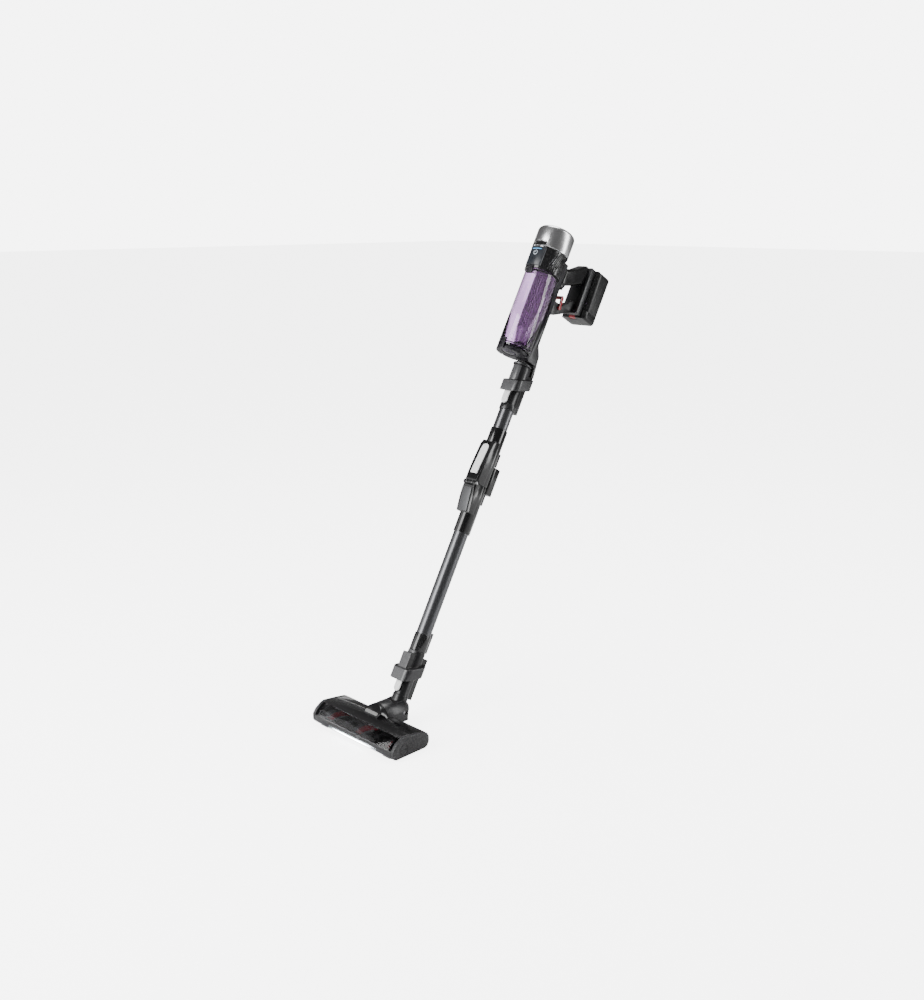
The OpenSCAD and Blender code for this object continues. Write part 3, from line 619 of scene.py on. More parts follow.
RED_PLASTIC = Finish("red_moulding", "red_plastic", (0.3, 0.006, 0.016), 0.25, coat=0.3, grain=0.04,
                     worn=(0.5, 0.1, 0.1))
BATTERY_BLACK = Finish("battery_moulding", "gloss_black", (0.004, 0.004, 0.0045), 0.3, grain=0.06, wear=0.25,
                       dust=0.02, specular=0.35)
RUBBER = Finish("black_rubber", "rubber_black", (0.008, 0.008, 0.0085), 0.55, grain=0.3, wear=0.2)
FELT = Finish("grey_felt", "felt_grey", (0.2, 0.2, 0.2), 0.9, grain=1.0)
FILTER = Finish("filter_fleece", "filter_white", (0.7, 0.7, 0.67), 0.85, grain=0.7, wear=0.0)
PULLEY = Finish("pulley_nylon", "pulley_plastic", (0.6, 0.6, 0.57), 0.4, grain=0.08)
CORE = Finish("roller_core_plastic", "roller_plastic", (0.02, 0.02, 0.022), 0.4, grain=0.1)
RED_NYLON = Finish("red_nylon", "red_bristle", (0.42, 0.008, 0.03), 0.4, grain=0.3, wear=0.0)
BLACK_NYLON = Finish("black_nylon", "black_bristle", (0.012, 0.012, 0.013), 0.4, grain=0.3, wear=0.0)
BOARD = Finish("circuit_board", "circuit", (0.02, 0.12, 0.05), 0.35, coat=0.3, grain=0.2)
# The lamp lens's painted shade at a slant is nearly black.
LENS = Clear("lamp_lens_clear", "lamp_lens", (0.45, 0.46, 0.48), 0.08, grain=0.0, wear=0.0,
             slant_shade_colour=(0.02, 0.02, 0.022))
DIODE = Lamp("lit_diode", "lamp_lens", (0.9, 0.95, 1.0), 0.2, strength=34.0, fade=0.066)
BLUE_MARK = Lamp("blue_display_mark", "display", (0.1, 0.42, 0.8), 0.2, strength=0.8)
WHITE_MARK = Lamp("white_display_mark", "display", (0.75, 0.82, 0.9), 0.2, strength=0.5)

CAD_FINISHES: dict[Finish, tuple[str, ...]] = {
    STEEL: ("brush_motor", "motor_pulley", "wheel_axles", "pitch_pin", "joint_pin", "pod_motor"),
    PULLEY: ("roller_pulley", "impeller"),
    RUBBER: ("drive_belt", "squeegee"),
    CORE: ("roller_core",),
    FELT: ("glide_pads",),
    BOARD: ("led_board",),
    FILTER: ("filter",),
}


# ---------- Making pieces ----------


@dataclass
class Mould:
    """A bmesh in millimetres, in one frame, and the operators that shape it."""

    bm: bmesh.types.BMesh = field(default_factory=bmesh.new)

    def lathe(self, profile: Iterable[tuple[float, float]], place: Matrix = WORLD, steps: int = 96) -> "Mould":
        """Spins a closed profile about the Z of its place.

        Args:
            profile: Radius and height of each corner, in order round the profile.
            place: Where the axis stands, in millimetres.
            steps: Facets round the turn.

        Returns:
            This mould.
        """
        verts = [self.bm.verts.new((r, 0.0, z)) for r, z in profile]
        edges = [self.bm.edges.new((a, b)) for a, b in zip(verts, verts[1:] + verts[:1])]
        bmesh.ops.spin(self.bm, geom=verts + edges, axis=(0, 0, 1), cent=(0, 0, 0), angle=math.tau,
                       steps=steps, use_merge=True, use_duplicate=False)
        return self._settle(place)

    def _settle(self, place: Matrix) -> "Mould":
        """Moves what is new, and not yet tagged, to its place.

        Args:
            place: Where it goes.

        Returns:
            This mould.
        """
        fresh = [v for v in self.bm.verts if not v.tag]
        bmesh.ops.transform(self.bm, matrix=place, verts=fresh)
        for vert in fresh:
            vert.tag = True
        return self

    def block(self, low: tuple[float, float, float], high: tuple[float, float, float],
              place: Matrix = WORLD) -> "Mould":
        """Adds a box between two corners.

        Args:
            low: Its lowest corner.
            high: Its highest corner.
            place: The frame that the corners are in.

        Returns:
            This mould.
        """
        size = Vector(high) - Vector(low)
        middle = (Vector(high) + Vector(low)) / 2
        bmesh.ops.create_cube(self.bm, size=1.0, matrix=Matrix.Translation(middle) @ Matrix.Diagonal((*size, 1.0)))
        return self._settle(place)

    def rod(self, radius: float, length: float, place: Matrix = WORLD, sides: int = 32) -> "Mould":
        """Adds a rod standing on the Z of its place.

        Args:
            radius: Its radius.
            length: Its length.
            place: Where its foot stands.
            sides: Its facets.

        Returns:
            This mould.
        """
        bmesh.ops.create_cone(self.bm, cap_ends=True, segments=sides, radius1=radius, radius2=radius, depth=length,
                              matrix=Matrix.Translation((0, 0, length / 2)))
        return self._settle(place)

    def plate(self, outline: Iterable[tuple[float, float]], height: float, place: Matrix = WORLD) -> "Mould":
        """Raises a flat outline, drawn in the XY plane of its place.

        Args:
            outline: Its corners, in order.
            height: How far it is raised.
            place: Where the outline lies.

        Returns:
            This mould.
        """
        face = self.bm.faces.new([self.bm.verts.new((x, y, 0.0)) for x, y in outline])
        made = bmesh.ops.extrude_face_region(self.bm, geom=[face], use_keep_orig=True)
        top = [g for g in made["geom"] if isinstance(g, bmesh.types.BMVert)]
        bmesh.ops.translate(self.bm, verts=top, vec=(0, 0, height))
        return self._settle(place)

    def sweep(self, path: list[Vector], radius: float, sides: int = 6) -> "Mould":
        """Runs a thin round section along a path.

        Args:
            path: The centreline.
            radius: The section's radius.
            sides: Its facets.

        Returns:
            This mould.
        """
        rings = []
        for i, point in enumerate(path):
            ahead = (path[min(i + 1, len(path) - 1)] - path[max(i - 1, 0)]).normalized()
            turn = ahead.to_track_quat("Z", "Y").to_matrix().to_4x4()
            ring = bmesh.ops.create_circle(self.bm, cap_ends=False, segments=sides, radius=radius,
                                           matrix=Matrix.Translation(point) @ turn)
            rings.append(ring["verts"])
        for a, b in zip(rings, rings[1:]):
            loops = [e for ring in (a, b) for e in {e for v in ring for e in v.link_edges
                                                    if e.other_vert(v) in ring}]
            bmesh.ops.bridge_loops(self.bm, edges=loops)
        for ring in (rings[0], rings[-1]):
            bmesh.ops.contextual_create(self.bm, geom=ring)
        return self._settle(WORLD)

    def bevel(self, width: float, sharper_than: float = 28.0, segments: int = 2,
              keep: Callable[[bmesh.types.BMEdge], bool] | None = None, clamp: bool = True) -> "Mould":
        """Rounds the sharp edges.

        Args:
            width: The round's width.
            sharper_than: The least turn between faces, in degrees.
            segments: Facets across the round.
            keep: Says which of the sharp edges are rounded.
            clamp: Stops the round where it would meet another.

        Returns:
            This mould.
        """
        limit = math.radians(sharper_than)
        edges = [e for e in self.bm.edges if len(e.link_faces) == 2 and e.calc_face_angle(0.0) > limit
                 and (keep is None or keep(e))]
        bmesh.ops.bevel(self.bm, geom=edges, offset=width, offset_type="OFFSET", segments=segments, profile=0.5,
                        affect="EDGES", material=-1, clamp_overlap=clamp, miter_outer="ARC")
        return self

    def rounded(self, width: float, sharper_than: float, segments: int) -> "Mould":
        """Rounds the sharp edges as widely as the shape allows, and lays strays back on the first surface.

        Args:
            width: The widest round.
            sharper_than: The least turn between faces, in degrees.
            segments: Facets across the round.

        Returns:
            This mould.
        """
        plain = self.bm
        skin = BVHTree.FromBMesh(plain)
        for share in ROUND_SHARES:
            self.bm = plain.copy()
            self.bevel(width * share, sharper_than, segments, clamp=False)
            found = [(v, skin.find_nearest(v.co)) for v in self.bm.verts]
            strays = [(v, near[0]) for v, near in found if near[3] > width * share * STRAY_SHARE]
            if len(strays) <= len(found) * STRAY_LIMIT:
                break
            if share > ROUND_SHARES[-1]:
                self.bm.free()
        for vert, near in strays:
            vert.co = near
        plain.free()
        return self

    def copy_of(self, node: str, place: Matrix) -> "Mould":
        """Takes a merged copy of a CAD node's mesh.

        Args:
            node: The CAD node.
            place: The frame that the copy is taken into.

        Returns:
            This mould.
        """
        self.bm.from_mesh(frame["nodes"][node].data)
        bmesh.ops.transform(self.bm, matrix=Matrix.Scale(1 / MM, 4) @ place.inverted(), verts=self.bm.verts)
        bmesh.ops.remove_doubles(self.bm, verts=self.bm.verts, dist=MERGE_MM)
        for vert in self.bm.verts:
            vert.tag = True
        return self


@dataclass
class Assembly:
    """A group of pieces that share a place and a habit of making them."""

    place: Matrix
    made: list[bpy.types.Object] = field(default_factory=list)

    def piece(self, name: str, mould: Mould, finish: Finish, body: str | None, *replaced: str,
              crisp: float = CRISP_DEG) -> bpy.types.Object:
        """Turns a mould into a finished piece on its body.

        Args:
            name: The piece's name.
            mould: Its shape, in millimetres in this assembly's frame.
            finish: Its finish.
            body: The CAD body that it rides on, or None for one that rides on no body.
            replaced: CAD nodes that it stands for.
            crisp: Edges that turn by more than this, in degrees, stay crisp.

        Returns:
            The piece.
        """
        bm = mould.bm
        bmesh.ops.transform(bm, matrix=self.place @ Matrix.Scale(MM, 4), verts=bm.verts)
        if not replaced or name != replaced[0] + "_soft":
            bmesh.ops.recalc_face_normals(bm, faces=bm.faces)
        mesh = bpy.data.meshes.new(name)
        bm.to_mesh(mesh)
        bm.free()
        mesh.polygons.foreach_set("use_smooth", [True] * len(mesh.polygons))
        mesh.set_sharp_from_angle(angle=math.radians(crisp))
        obj = bpy.data.objects.new(name, mesh)
        bpy.context.scene.collection.objects.link(obj)
        mesh.materials.append(finish.build())
        if body:
            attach(obj, body)
        if replaced:
            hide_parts(*replaced)
        self.made.append(obj)
        log.info("%s: %d faces on %s", name, len(mesh.polygons), body)
        return obj

    def soften(self, node: str, finish: Finish, width: float = 0.6, sharper_than: float = 30.0,
               segments: int = 2) -> bpy.types.Object:
        """Stands in for a CAD node with a copy whose edges are rounded.

        Args:
            node: The CAD node.
            finish: Its finish.
            width: The round's width.
            sharper_than: The least turn between faces that is rounded, in degrees.
            segments: Facets across the round.

        Returns:
            The piece.
        """
        mould = Mould().copy_of(node, self.place).rounded(width, sharper_than, segments)
        body = next(b for b, nodes in frame["record"]["behaviour"]["bodies"].items() if node in nodes)
        return self.piece(node + "_soft", mould, finish, body, node, crisp=SOFT_CRISP_DEG)

    def facets(self, obj: bpy.types.Object, rules: Iterable[tuple[Finish, Callable[[Vector, Vector], bool]]]) -> None:
        """Gives faces of a piece another finish by where they are and which way they look.

        Args:
            obj: The piece.
            rules: A finish, and a test on a face's normal and centre in this assembly's frame.
        """
        back = self.place.inverted()
        turn = back.to_3x3()
        for finish, test in rules:
            index = len(obj.data.materials)
            obj.data.materials.append(finish.build())
            for face in obj.data.polygons:
                if test(turn @ face.normal, back @ face.center / MM):
                    face.material_index = index


def dress_cad() -> None:
    """Gives the CAD nodes that stay showing their finishes."""
    for finish, nodes in CAD_FINISHES.items():
        for name in nodes:
            materials = frame["nodes"][name].data.materials
            materials.clear()
            materials.append(finish.build())
            log.info("%s: CAD mesh in %s", name, finish.name)


# ---------- Floor head ----------


@dataclass
class FloorHead(Assembly):
    """The powered floor head: shells, smoked window, roller, lamp strip and wheels."""

    tyre_bore: float = 2.1
    tyre_shoulder: float = 2.2
    tread_rings: int = 3
    tread_half: float = 0.6
    tread_depth: float = 0.5
    tuft_batch: int = 60
    tuft_root: float = 0.62
    tuft_tip: float = 0.36
    tuft_patch_mm2: float = 1.9
    tuft_trim: float = 0.25
    diodes: int = 9
    diode_radius: float = 1.0
    diode_height: float = 2.6
    bar_inset: float = 12.0
    bar_half: float = 1.0

    def build(self) -> None:
        """Makes every piece of the head."""
        self.soften("head_base", GRAPHITE, 0.5)
        self.soften("head_cover", GLOSS_BLACK, 0.7)
        self.soften("head_window", SMOKE_CLEAR, 0.4)
        self.soften("led_lens", LENS, 0.4)
        for side in ("right", "left"):
            self.soften("end_cap_" + side, GREY_PLASTIC, 0.8)
            self.wheel("wheel_" + side)
        self.soften("end_knob", GREY_PLASTIC, 0.5)
        self.soften("swivel_bearing", GREY_PLASTIC, 0.4)
        self.soften("hood_plate", PALE_PLATE, 0.3)
        self.bristles("bristles_red", RED_NYLON, 3)
        self.bristles("bristles_black", BLACK_NYLON, 5)
        self.diode_row()
        self.screws()

    def wheel(self, node: str) -> None:
        """Replaces a wheel with a treaded tyre.

        Args:
            node: The CAD wheel.
        """
        low, high = world_box(node)
        centre = (low + high) / 2
        radius, half = (high.z - low.z) / 2, (high.x - low.x) / 2
        flank = [(self.tyre_bore, half), (radius - self.tyre_shoulder, half), (radius - 0.6, half - 0.5),
                 (radius, half - 1.6)]
        groove, floor = self.tread_half, radius - self.tread_depth
        profile = [(r, -k) for r, k in flank]
        for i in range(1, self.tread_rings + 1):
            k = -half + 2 * half * i / (self.tread_rings + 1)
            profile += [(radius, k - groove), (floor, k - groove / 2), (floor, k + groove / 2), (radius, k + groove)]
        profile += reversed(flank)
        turn = Matrix.Translation(centre) @ Matrix.Rotation(math.pi / 2, 4, "Y")
        mould = Mould().lathe(profile, turn, 48)
        self.piece(node + "_tyre", mould, RUBBER, node, node)

    def bristles(self, node: str, finish: Finish, seed: int) -> None:
        """Replaces a bristle band with tufts that stand on its helix.

        Args:
            node: The CAD band.
            finish: The nylon.
            seed: Seed of the tufts' small leans.
        """
        mesh = frame["nodes"][node].data
        low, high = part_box("roller_core")
        axis_y, axis_z = (low.y + high.y) / 2, (low.z + high.z) / 2
        core = world_box("roller_core")
        hub = (core[1].z - core[0].z) / 2
        tips = max(math.hypot(v.co.y - axis_y, v.co.z - axis_z) for v in mesh.vertices) / MM
        tips -= self.tuft_trim
        rng = random.Random(seed)
        points = self.band_points(mesh, axis_y, axis_z, rng)
        mould = Mould()
        for start in range(0, len(points), self.tuft_batch):
            batch = bmesh.new()
            for angle, x in points[start:start + self.tuft_batch]:
                place = (Matrix.Translation((x, axis_y / MM, axis_z / MM)) @ Matrix.Rotation(angle, 4, "X")
                         @ Matrix.Translation((0, 0, hub - 0.6))
                         @ Matrix.Rotation(rng.uniform(-0.1, 0.1), 4, "X")
                         @ Matrix.Rotation(rng.uniform(-0.08, 0.08), 4, "Y"))
                length = tips - hub + 0.5 - rng.uniform(0.0, 0.5)
                bmesh.ops.create_cone(batch, cap_ends=True, segments=4, radius1=self.tuft_root,
                                      radius2=self.tuft_tip, depth=length,
                                      matrix=place @ Matrix.Translation((0, 0, length / 2)))
            rows = bpy.data.meshes.new("tuft_batch")
            batch.to_mesh(rows)
            batch.free()
            mould.bm.from_mesh(rows)
            bpy.data.meshes.remove(rows)
        self.piece(node + "_tufts", mould, finish, "roller", node)

    def band_points(self, mesh: bpy.types.Mesh, axis_y: float, axis_z: float,
                    rng: random.Random) -> list[tuple[float, float]]:
        """Spreads tufts over the tips of a CAD band.

        Args:
            mesh: The band's mesh.
            axis_y: Place of the roller's axis.
            axis_z: Height of the roller's axis.
            rng: The seeded source of small shifts.

        Returns:
            The angle about the roller and the place along it, for each tuft.
        """
        rim = max(math.hypot(v.co.y - axis_y, v.co.z - axis_z) for v in mesh.vertices) * 0.985
        points = []
        for face in mesh.polygons:
            corners = [mesh.vertices[i].co for i in face.vertices]
            if min(math.hypot(p.y - axis_y, p.z - axis_z) for p in corners) < rim:
                continue
            count = max(1, round(face.area / MM ** 2 / self.tuft_patch_mm2))
            for _ in range(count):
                a, b = sorted((rng.random(), rng.random()))
                spot = corners[0] * a + corners[1] * (b - a) + corners[2] * (1 - b)
                points.append((math.atan2(-(spot.y - axis_y), spot.z - axis_z), spot.x / MM))
        return points

    def diode_row(self) -> None:
        """Sets a row of lit diodes behind the lens."""
        low, high = world_box("led_lens")
        middle = low.z + self.diode_height
        mould = Mould()
        for i in range(self.diodes):
            x = low.x + (high.x - low.x) * (i + 0.5) / self.diodes
            place = Matrix.Translation((x, low.y + 0.05, middle)) @ Matrix.Rotation(math.pi / 2, 4, "X")
            mould.rod(self.diode_radius, 0.3, place, 16)
        mould.block((low.x + self.bar_inset, low.y - 0.15, middle - self.bar_half),
                    (high.x - self.bar_inset, low.y + 0.1, middle + self.bar_half))
        self.piece("lamp_diodes", mould, DIODE, "head")

    def screws(self) -> None:
        """Sets countersunk screws into the sole."""
        low, high = world_box("head_base")
        mould = Mould()
        for x in (low.x + 14, 0.0, high.x - 14):
            place = Matrix.Translation((x, high.y - 12, low.z - 0.15))
            mould.lathe([(ON_AXIS, 0.0), (1.1, 0.0), (1.1, 0.5), (2.6, 0.0), (3.1, 0.35), (3.1, 0.9), (ON_AXIS, 0.9)],
                        place, 32)
        self.piece("sole_screws", mould, STEEL, "head")


# ---------- Neck ----------


@dataclass
class Neck(Assembly):
    """The swivelling neck's drum."""

    def build(self) -> None:
        """Makes the drum."""
        self.soften("neck_drum", GRAPHITE, 0.7)


# ---------- Wand ----------


@dataclass
class Wand(Assembly):
    """Tubes, flared collars, release tongues and the folding joint."""

    tube_wall: float = 1.2
    tube_hem: float = 0.5
    hose_rings: int = 13
    hose_bend: float = 16.0

    def build(self) -> None:
        """Makes every piece of the wand."""
        self.tube("lower_tube", "wand_lower")
        self.tube("upper_tube", "wand_upper")
        self.soften("lower_cuff", GLOSS_BLACK, 0.6)
        self.collar("lower_collar")
        self.collar("inlet_collar")
        self.soften("neck_stem", GRAPHITE, 0.5)
        self.soften("upper_connector", GRAPHITE, 0.5)
        for node in ("lower_release", "upper_release"):
            self.soften(node, WHITE_PLASTIC, 0.7)
        self.soften("joint_lower", GLOSS_BLACK, 0.9)
        self.soften("joint_upper", GLOSS_BLACK, 0.9)
        self.soften("joint_panel", PANEL_SILVER, 0.9, segments=3)
        self.soften("flex_button", WHITE_PLASTIC, 0.8)
        self.hose()

    def tube(self, node: str, body: str) -> None:
        """Replaces a metal tube with a smooth one whose ends are hemmed.

        Args:
            node: The CAD tube.
            body: The body that it rides on.
        """
        low, high = STICK.box(node)
        outer = (high.x - low.x) / 2
        inner, hem = outer - self.tube_wall, self.tube_hem
        profile = [(inner, low.z), (outer - 0.4, low.z), (outer, low.z + hem), (outer, high.z - hem),
                   (outer - 0.4, high.z), (inner, high.z)]
        self.piece(node + "_drawn", Mould().lathe(profile, WORLD, 128), TUBE, body, node)

    def collar(self, node: str) -> None:
        """Rounds a flared collar and paints light on it: its front faces a pale grey and its side faces a mid grey.

        Args:
            node: The CAD collar.
        """
        obj = self.soften(node, GREY_PLASTIC, 1.6, segments=3)
        # Painted light: faces that look to the front take the pale copy, faces that look to the sides the mid copy.
        self.facets(obj, (
            (COLLAR_PAINTED_FRONT_LIGHT, lambda n, c: n.y < -0.8 and c.y < -14),
            (COLLAR_PAINTED_SIDE_LIGHT, lambda n, c: abs(n.x) > 0.8 and abs(c.x) > 20),
        ))

    def hose(self) -> None:
        """Replaces the hose in the folding joint with a straight corrugated one."""
        low, high = STICK.box("flex_hose")
        outer = (high.x - low.x) / 2 - 0.3
        pitch = (high.z - low.z) / self.hose_rings
        profile = []
        for i in range(self.hose_rings):
            k = low.z + pitch * i
            profile += [(outer - 2.2, k), (outer - 2.2, k + pitch * 0.2), (outer - 0.3, k + pitch * 0.35),
                        (outer, k + pitch * 0.5), (outer - 0.3, k + pitch * 0.75), (outer - 2.2, k + pitch * 0.9)]
        inside = [(outer - 3.4, high.z), (outer - 3.4, low.z)]
        obj = self.piece("folding_hose", Mould().lathe(profile + inside, WORLD, 64), RUBBER, None, "flex_hose")
        middle = (low.z + high.z) / 2
        start = STICK.place @ (Vector((0, 0, middle + self.hose_bend)) * MM)
        end = STICK.place @ (Vector((0, 0, middle - self.hose_bend)) * MM)
        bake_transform(obj)


# ---------- Motor pod ----------


def round_outline(width: float, depth: float, radius: float, steps: int = 8) -> list[tuple[float, float]]:
    """Draws a rectangle with round corners, centred on the origin.

    Args:
        width: Its size along X.
        depth: Its size along Y.
        radius: The corners' radius.
        steps: Facets in each corner.

    Returns:
        The outline, anticlockwise.
    """
    points = []
    for corner, (sx, sy) in enumerate(((1, 1), (-1, 1), (-1, -1), (1, -1))):
        for i in range(steps + 1):
            a = math.pi / 2 * (corner + i / steps)
            points.append((sx * (width / 2 - radius) + radius * math.cos(a),
                           sy * (depth / 2 - radius) + radius * math.sin(a)))
    return points


@dataclass(frozen=True)
class Barrel:
    """A round skin about an axis along the stick, to lay lines and marks on."""

    n: float
    radius: float

    def spot(self, across: float, k: float, proud: float = 0.0) -> Vector:
        """Gives a point on the skin.

        Args:
            across: Distance along the skin from its front line.
            k: Station along the stick.
            proud: Height above the skin.

        Returns:
            The point in the stick's frame.
        """
        a = across / self.radius
        r = self.radius + proud
        return Vector((r * math.sin(a), self.n - r * math.cos(a), k))

    def line(self, ends: tuple[tuple[float, float], tuple[float, float]], steps: int = 12, wave: float = 0.0,
             proud: float = 0.0) -> list[Vector]:
        """Lays a line on the skin between two spots.

        Args:
            ends: Distance from the front line, and station, of each end.
            steps: Stretches along it.
            wave: Height of its one gentle wave.
            proud: Height above the skin.

        Returns:
            The line's points.
        """
        (a0, k0), (a1, k1) = ends
        spots = []
        for i in range(steps + 1):
            t = i / steps
            spots.append(self.spot(a0 + (a1 - a0) * t + wave * math.sin(math.tau * t), k0 + (k1 - k0) * t, proud))
        return spots

    def ring(self, across: float, k: float, radius: float, steps: int = 36, proud: float = 0.0,
             sweep: tuple[float, float] = (0.0, 360.0)) -> list[Vector]:
        """Draws part of a ring on the skin.

        Args:
            across: The centre's distance from the front line.
            k: The centre's station.
            radius: The ring's radius.
            steps: Stretches along it.
            proud: Height above the skin.
            sweep: Where it starts and ends, in degrees.

        Returns:
            The ring's points.
        """
        angles = [math.radians(sweep[0] + (sweep[1] - sweep[0]) * i / steps) for i in range(steps + 1)]
        return [self.spot(across + radius * math.cos(a), k + radius * math.sin(a), proud) for a in angles]


@dataclass
class MotorPod(Assembly):
    """The hand-held pod: housing, cap, display, spine and grip."""

    vent_lines: int = 9
    vent_start: float = 0.62
    vent_pitch: float = 4.3
    vent_slant: float = 11.0
    vent_wave: float = 1.6
    vent_radius: float = 0.45
    ring_radius: float = 4.6
    frame_half: float = 19.5
    frame_drop: float = 1.5

    def build(self) -> None:
        """Makes every piece of the pod."""
        self.soften("motor_housing", GLOSS_BLACK, 0.6)
        self.soften("motor_cap", SILVER, 1.2)
        self.soften("display_panel", DISPLAY, 0.5)
        self.soften("capsule_bezel", CHROME, 0.3)
        self.soften("power_button", GLOSS_BLACK, 0.5)
        self.soften("spine", SPINE_GREY, 1.0)
        self.soften("grip", GLOSS_BLACK, 2.0, segments=4)
        self.soften("cradle", GRAPHITE, 1.0)
        self.soften("trigger", GLOSS_BLACK, 1.0, segments=3)
        self.soften("lever", RED_PLASTIC, 0.8)
        self.vents()
        self.display_marks()
        self.seams()
        self.screws()

    def vents(self) -> None:
        """Lays slanting wavy vent ribs round the sides of the housing."""
        low, high = STICK.box("motor_housing")
        skin = Barrel((low.y + high.y) / 2, (high.x - low.x) / 2)
        mould = Mould()
        quarter = skin.radius * math.pi / 2
        for side in (-1, 1):
            for i in range(self.vent_lines):
                start = side * (quarter * self.vent_start + i * self.vent_pitch)
                ends = ((start, low.z + 8), (start + side * self.vent_slant, high.z - 5))
                mould.sweep(skin.line(ends, 14, side * self.vent_wave, 0.1), self.vent_radius)
        self.piece("vent_ribs", mould, VENT_GREY, "pod")

    def display_marks(self) -> None:
        """Draws the display's plain marks: an arc, an open ring, a short stroke and two ticks, and a thin frame round
        the display.
        """
        low, high = STICK.box("display_panel")
        housing = STICK.box("motor_housing")
        skin = Barrel((housing[0].y + housing[1].y) / 2, (housing[0].y + housing[1].y) / 2 - low.y)
        arc = Mould().sweep(skin.line(((-12.0, high.z - 5.5), (12.0, high.z - 5.5)), 16, 0.0, 0.05), 0.9)
        self.piece("display_arc", arc, BLUE_MARK, "pod")
        marks = Mould().sweep(skin.ring(0.0, high.z - 15, self.ring_radius, 30, 0.05, (125.0, 415.0)), 0.6)
        marks.sweep(skin.line(((0.0, high.z - 14.5), (0.0, high.z - 9.0)), 4, 0.0, 0.05), 0.6)
        self.piece("display_ring", marks, WHITE_MARK, "pod")
        ticks = Mould()
        for across in (-3.4, 3.4):
            ticks.sweep(skin.line(((across, low.z + 10), (across, low.z + 16)), 4, 0.0, 0.05), 0.7)
        self.piece("display_ticks", ticks, GRAPHITE, "pod")
        frame_mould = Mould()
        half, bottom, top = self.frame_half, low.z + self.frame_drop, high.z - self.frame_drop
        for ends, steps in ((((-half, bottom), (-half, top)), 6), (((half, bottom), (half, top)), 6),
                            (((-half, bottom), (half, bottom)), 16)):
            frame_mould.sweep(skin.line(ends, steps, 0.0, -0.1), 0.5)
        self.piece("display_frame", frame_mould, GREY_PLASTIC, "pod")

    def seams(self) -> None:
        """Sets the bright ring under the cap."""
        low, high = STICK.box("motor_cap")
        centre = Matrix.Translation((0, (low.y + high.y) / 2, low.z))
        radius = (high.x - low.x) / 2
        ring = [(radius - 2.6, 0.05), (radius - 0.2, 0.05), (radius + 0.25, 0.5), (radius + 0.25, 1.3),
                (radius - 0.05, 1.7), (radius - 2.6, 1.7)]
        self.piece("cap_rim", Mould().lathe(ring, centre, 128), CHROME, "pod")

    def screws(self) -> None:
        """Sets screws into the back of the spine."""
        low, high = STICK.box("spine")
        mould = Mould()
        for k in (low.z + 45, (low.z + high.z) / 2 - 20, (low.z + high.z) / 2 + 25):
            place = Matrix.Translation((0, 9.02, k)) @ Matrix.Rotation(-math.pi / 2, 4, "X")
            mould.lathe([(ON_AXIS, -0.5), (1.2, -0.5), (1.3, 0.15), (2.5, 0.15), (2.9, -0.1), (2.9, -1.2),
                         (ON_AXIS, -1.2)], place, 32)
        self.piece("spine_screws", mould, STEEL, "pod")


# ---------- Bin ----------


@dataclass
class Bin(Assembly):
    """The clear bin with its cyclone, floor, door and latches."""

    rim_up: float = 6.5
    rim_down: float = 3.2
    # Where the painted shade lines stand, in degrees from the front, and their thickness.
    shade_line_turns: tuple[float, float] = (128.0, 140.0)
    shade_line_radius: float = 0.9
    lens_forward: float = 12.0
    lens_radius: float = 16.8
    lens_sunk: float = 1.0
    lens_swell: float = 2.4
    disc_radius: float = 6.6

    def build(self) -> None:
        """Makes every piece of the bin."""
        self.soften("bin_shell", VIOLET_CLEAR, 0.4)
        self.soften("bin_floor", BIN_DARK, 0.5)
        self.soften("bin_door", BIN_DARK, 0.8)
        self.soften("cyclone", VIOLET, 0.3)
        self.soften("door_latch", BIN_DARK, 0.5)
        self.soften("bin_latch", BIN_DARK, 0.5)
        self.rims()
        self.door_lens()

    def rims(self) -> None:
        """Sets the seal rings at both ends of the clear wall, and dark lines of painted shade down its back."""
        low, high = STICK.box("bin_shell")
        centre = Matrix.Translation((0, (low.y + high.y) / 2, 0))
        radius = (high.x - low.x) / 2
        mould = Mould()
        for k in (low.z + self.rim_up, high.z - self.rim_down):
            mould.lathe([(radius - 0.3, k), (radius + 0.3, k + 0.3), (radius + 0.3, k + 2.2), (radius - 0.3, k + 2.5)],
                        centre, 128)
        self.piece("bin_rims", mould, BIN_DARK, "bin")
        # Painted shade: thin dark strips laid on the clear wall towards its back, for the dark lines along its
        # outline.
        skin = Barrel(centre.translation.y, radius)
        shade_lines = Mould()
        for side in (-1, 1):
            for turn_deg in self.shade_line_turns:
                across = side * radius * math.radians(turn_deg)
                shade_lines.sweep(skin.line(((across, low.z + 8), (across, high.z - 4)), 2, 0.0, 0.1), self.shade_line_radius, 8)
        self.piece("bin_shade_lines", shade_lines, BIN_DARK, "bin")

    def door_lens(self) -> None:
        """Sets the domed lens and its centre disc into the door."""
        low, high = STICK.box("bin_door")
        shell = STICK.box("bin_shell")
        middle = (shell[0].y + shell[1].y) / 2 - self.lens_forward
        turn = Matrix.Translation((0, middle, low.z)) @ Matrix.Rotation(math.pi, 4, "X")
        edge, sunk, swell = self.lens_radius, self.lens_sunk, self.lens_swell
        rise = [(edge * math.cos(a), -sunk + swell * math.sin(a) ** 2) for a in (i * math.pi / 24 for i in range(12))]
        dome = [(edge, -sunk - 0.35), *rise, (ON_AXIS, swell - sunk), (ON_AXIS, -sunk - 0.35)]
        self.piece("door_dome", Mould().lathe(dome, turn, 96), VIOLET_DARK, "bin_door")
        wide = self.disc_radius
        disc = [(wide, 0.8), (wide, 1.5), (wide - 0.5, 1.75), (ON_AXIS, 1.75), (ON_AXIS, 0.8)]
        self.piece("door_disc", Mould().lathe(disc, turn, 64), GREY_PLASTIC, "bin_door")


# ---------- Battery ----------


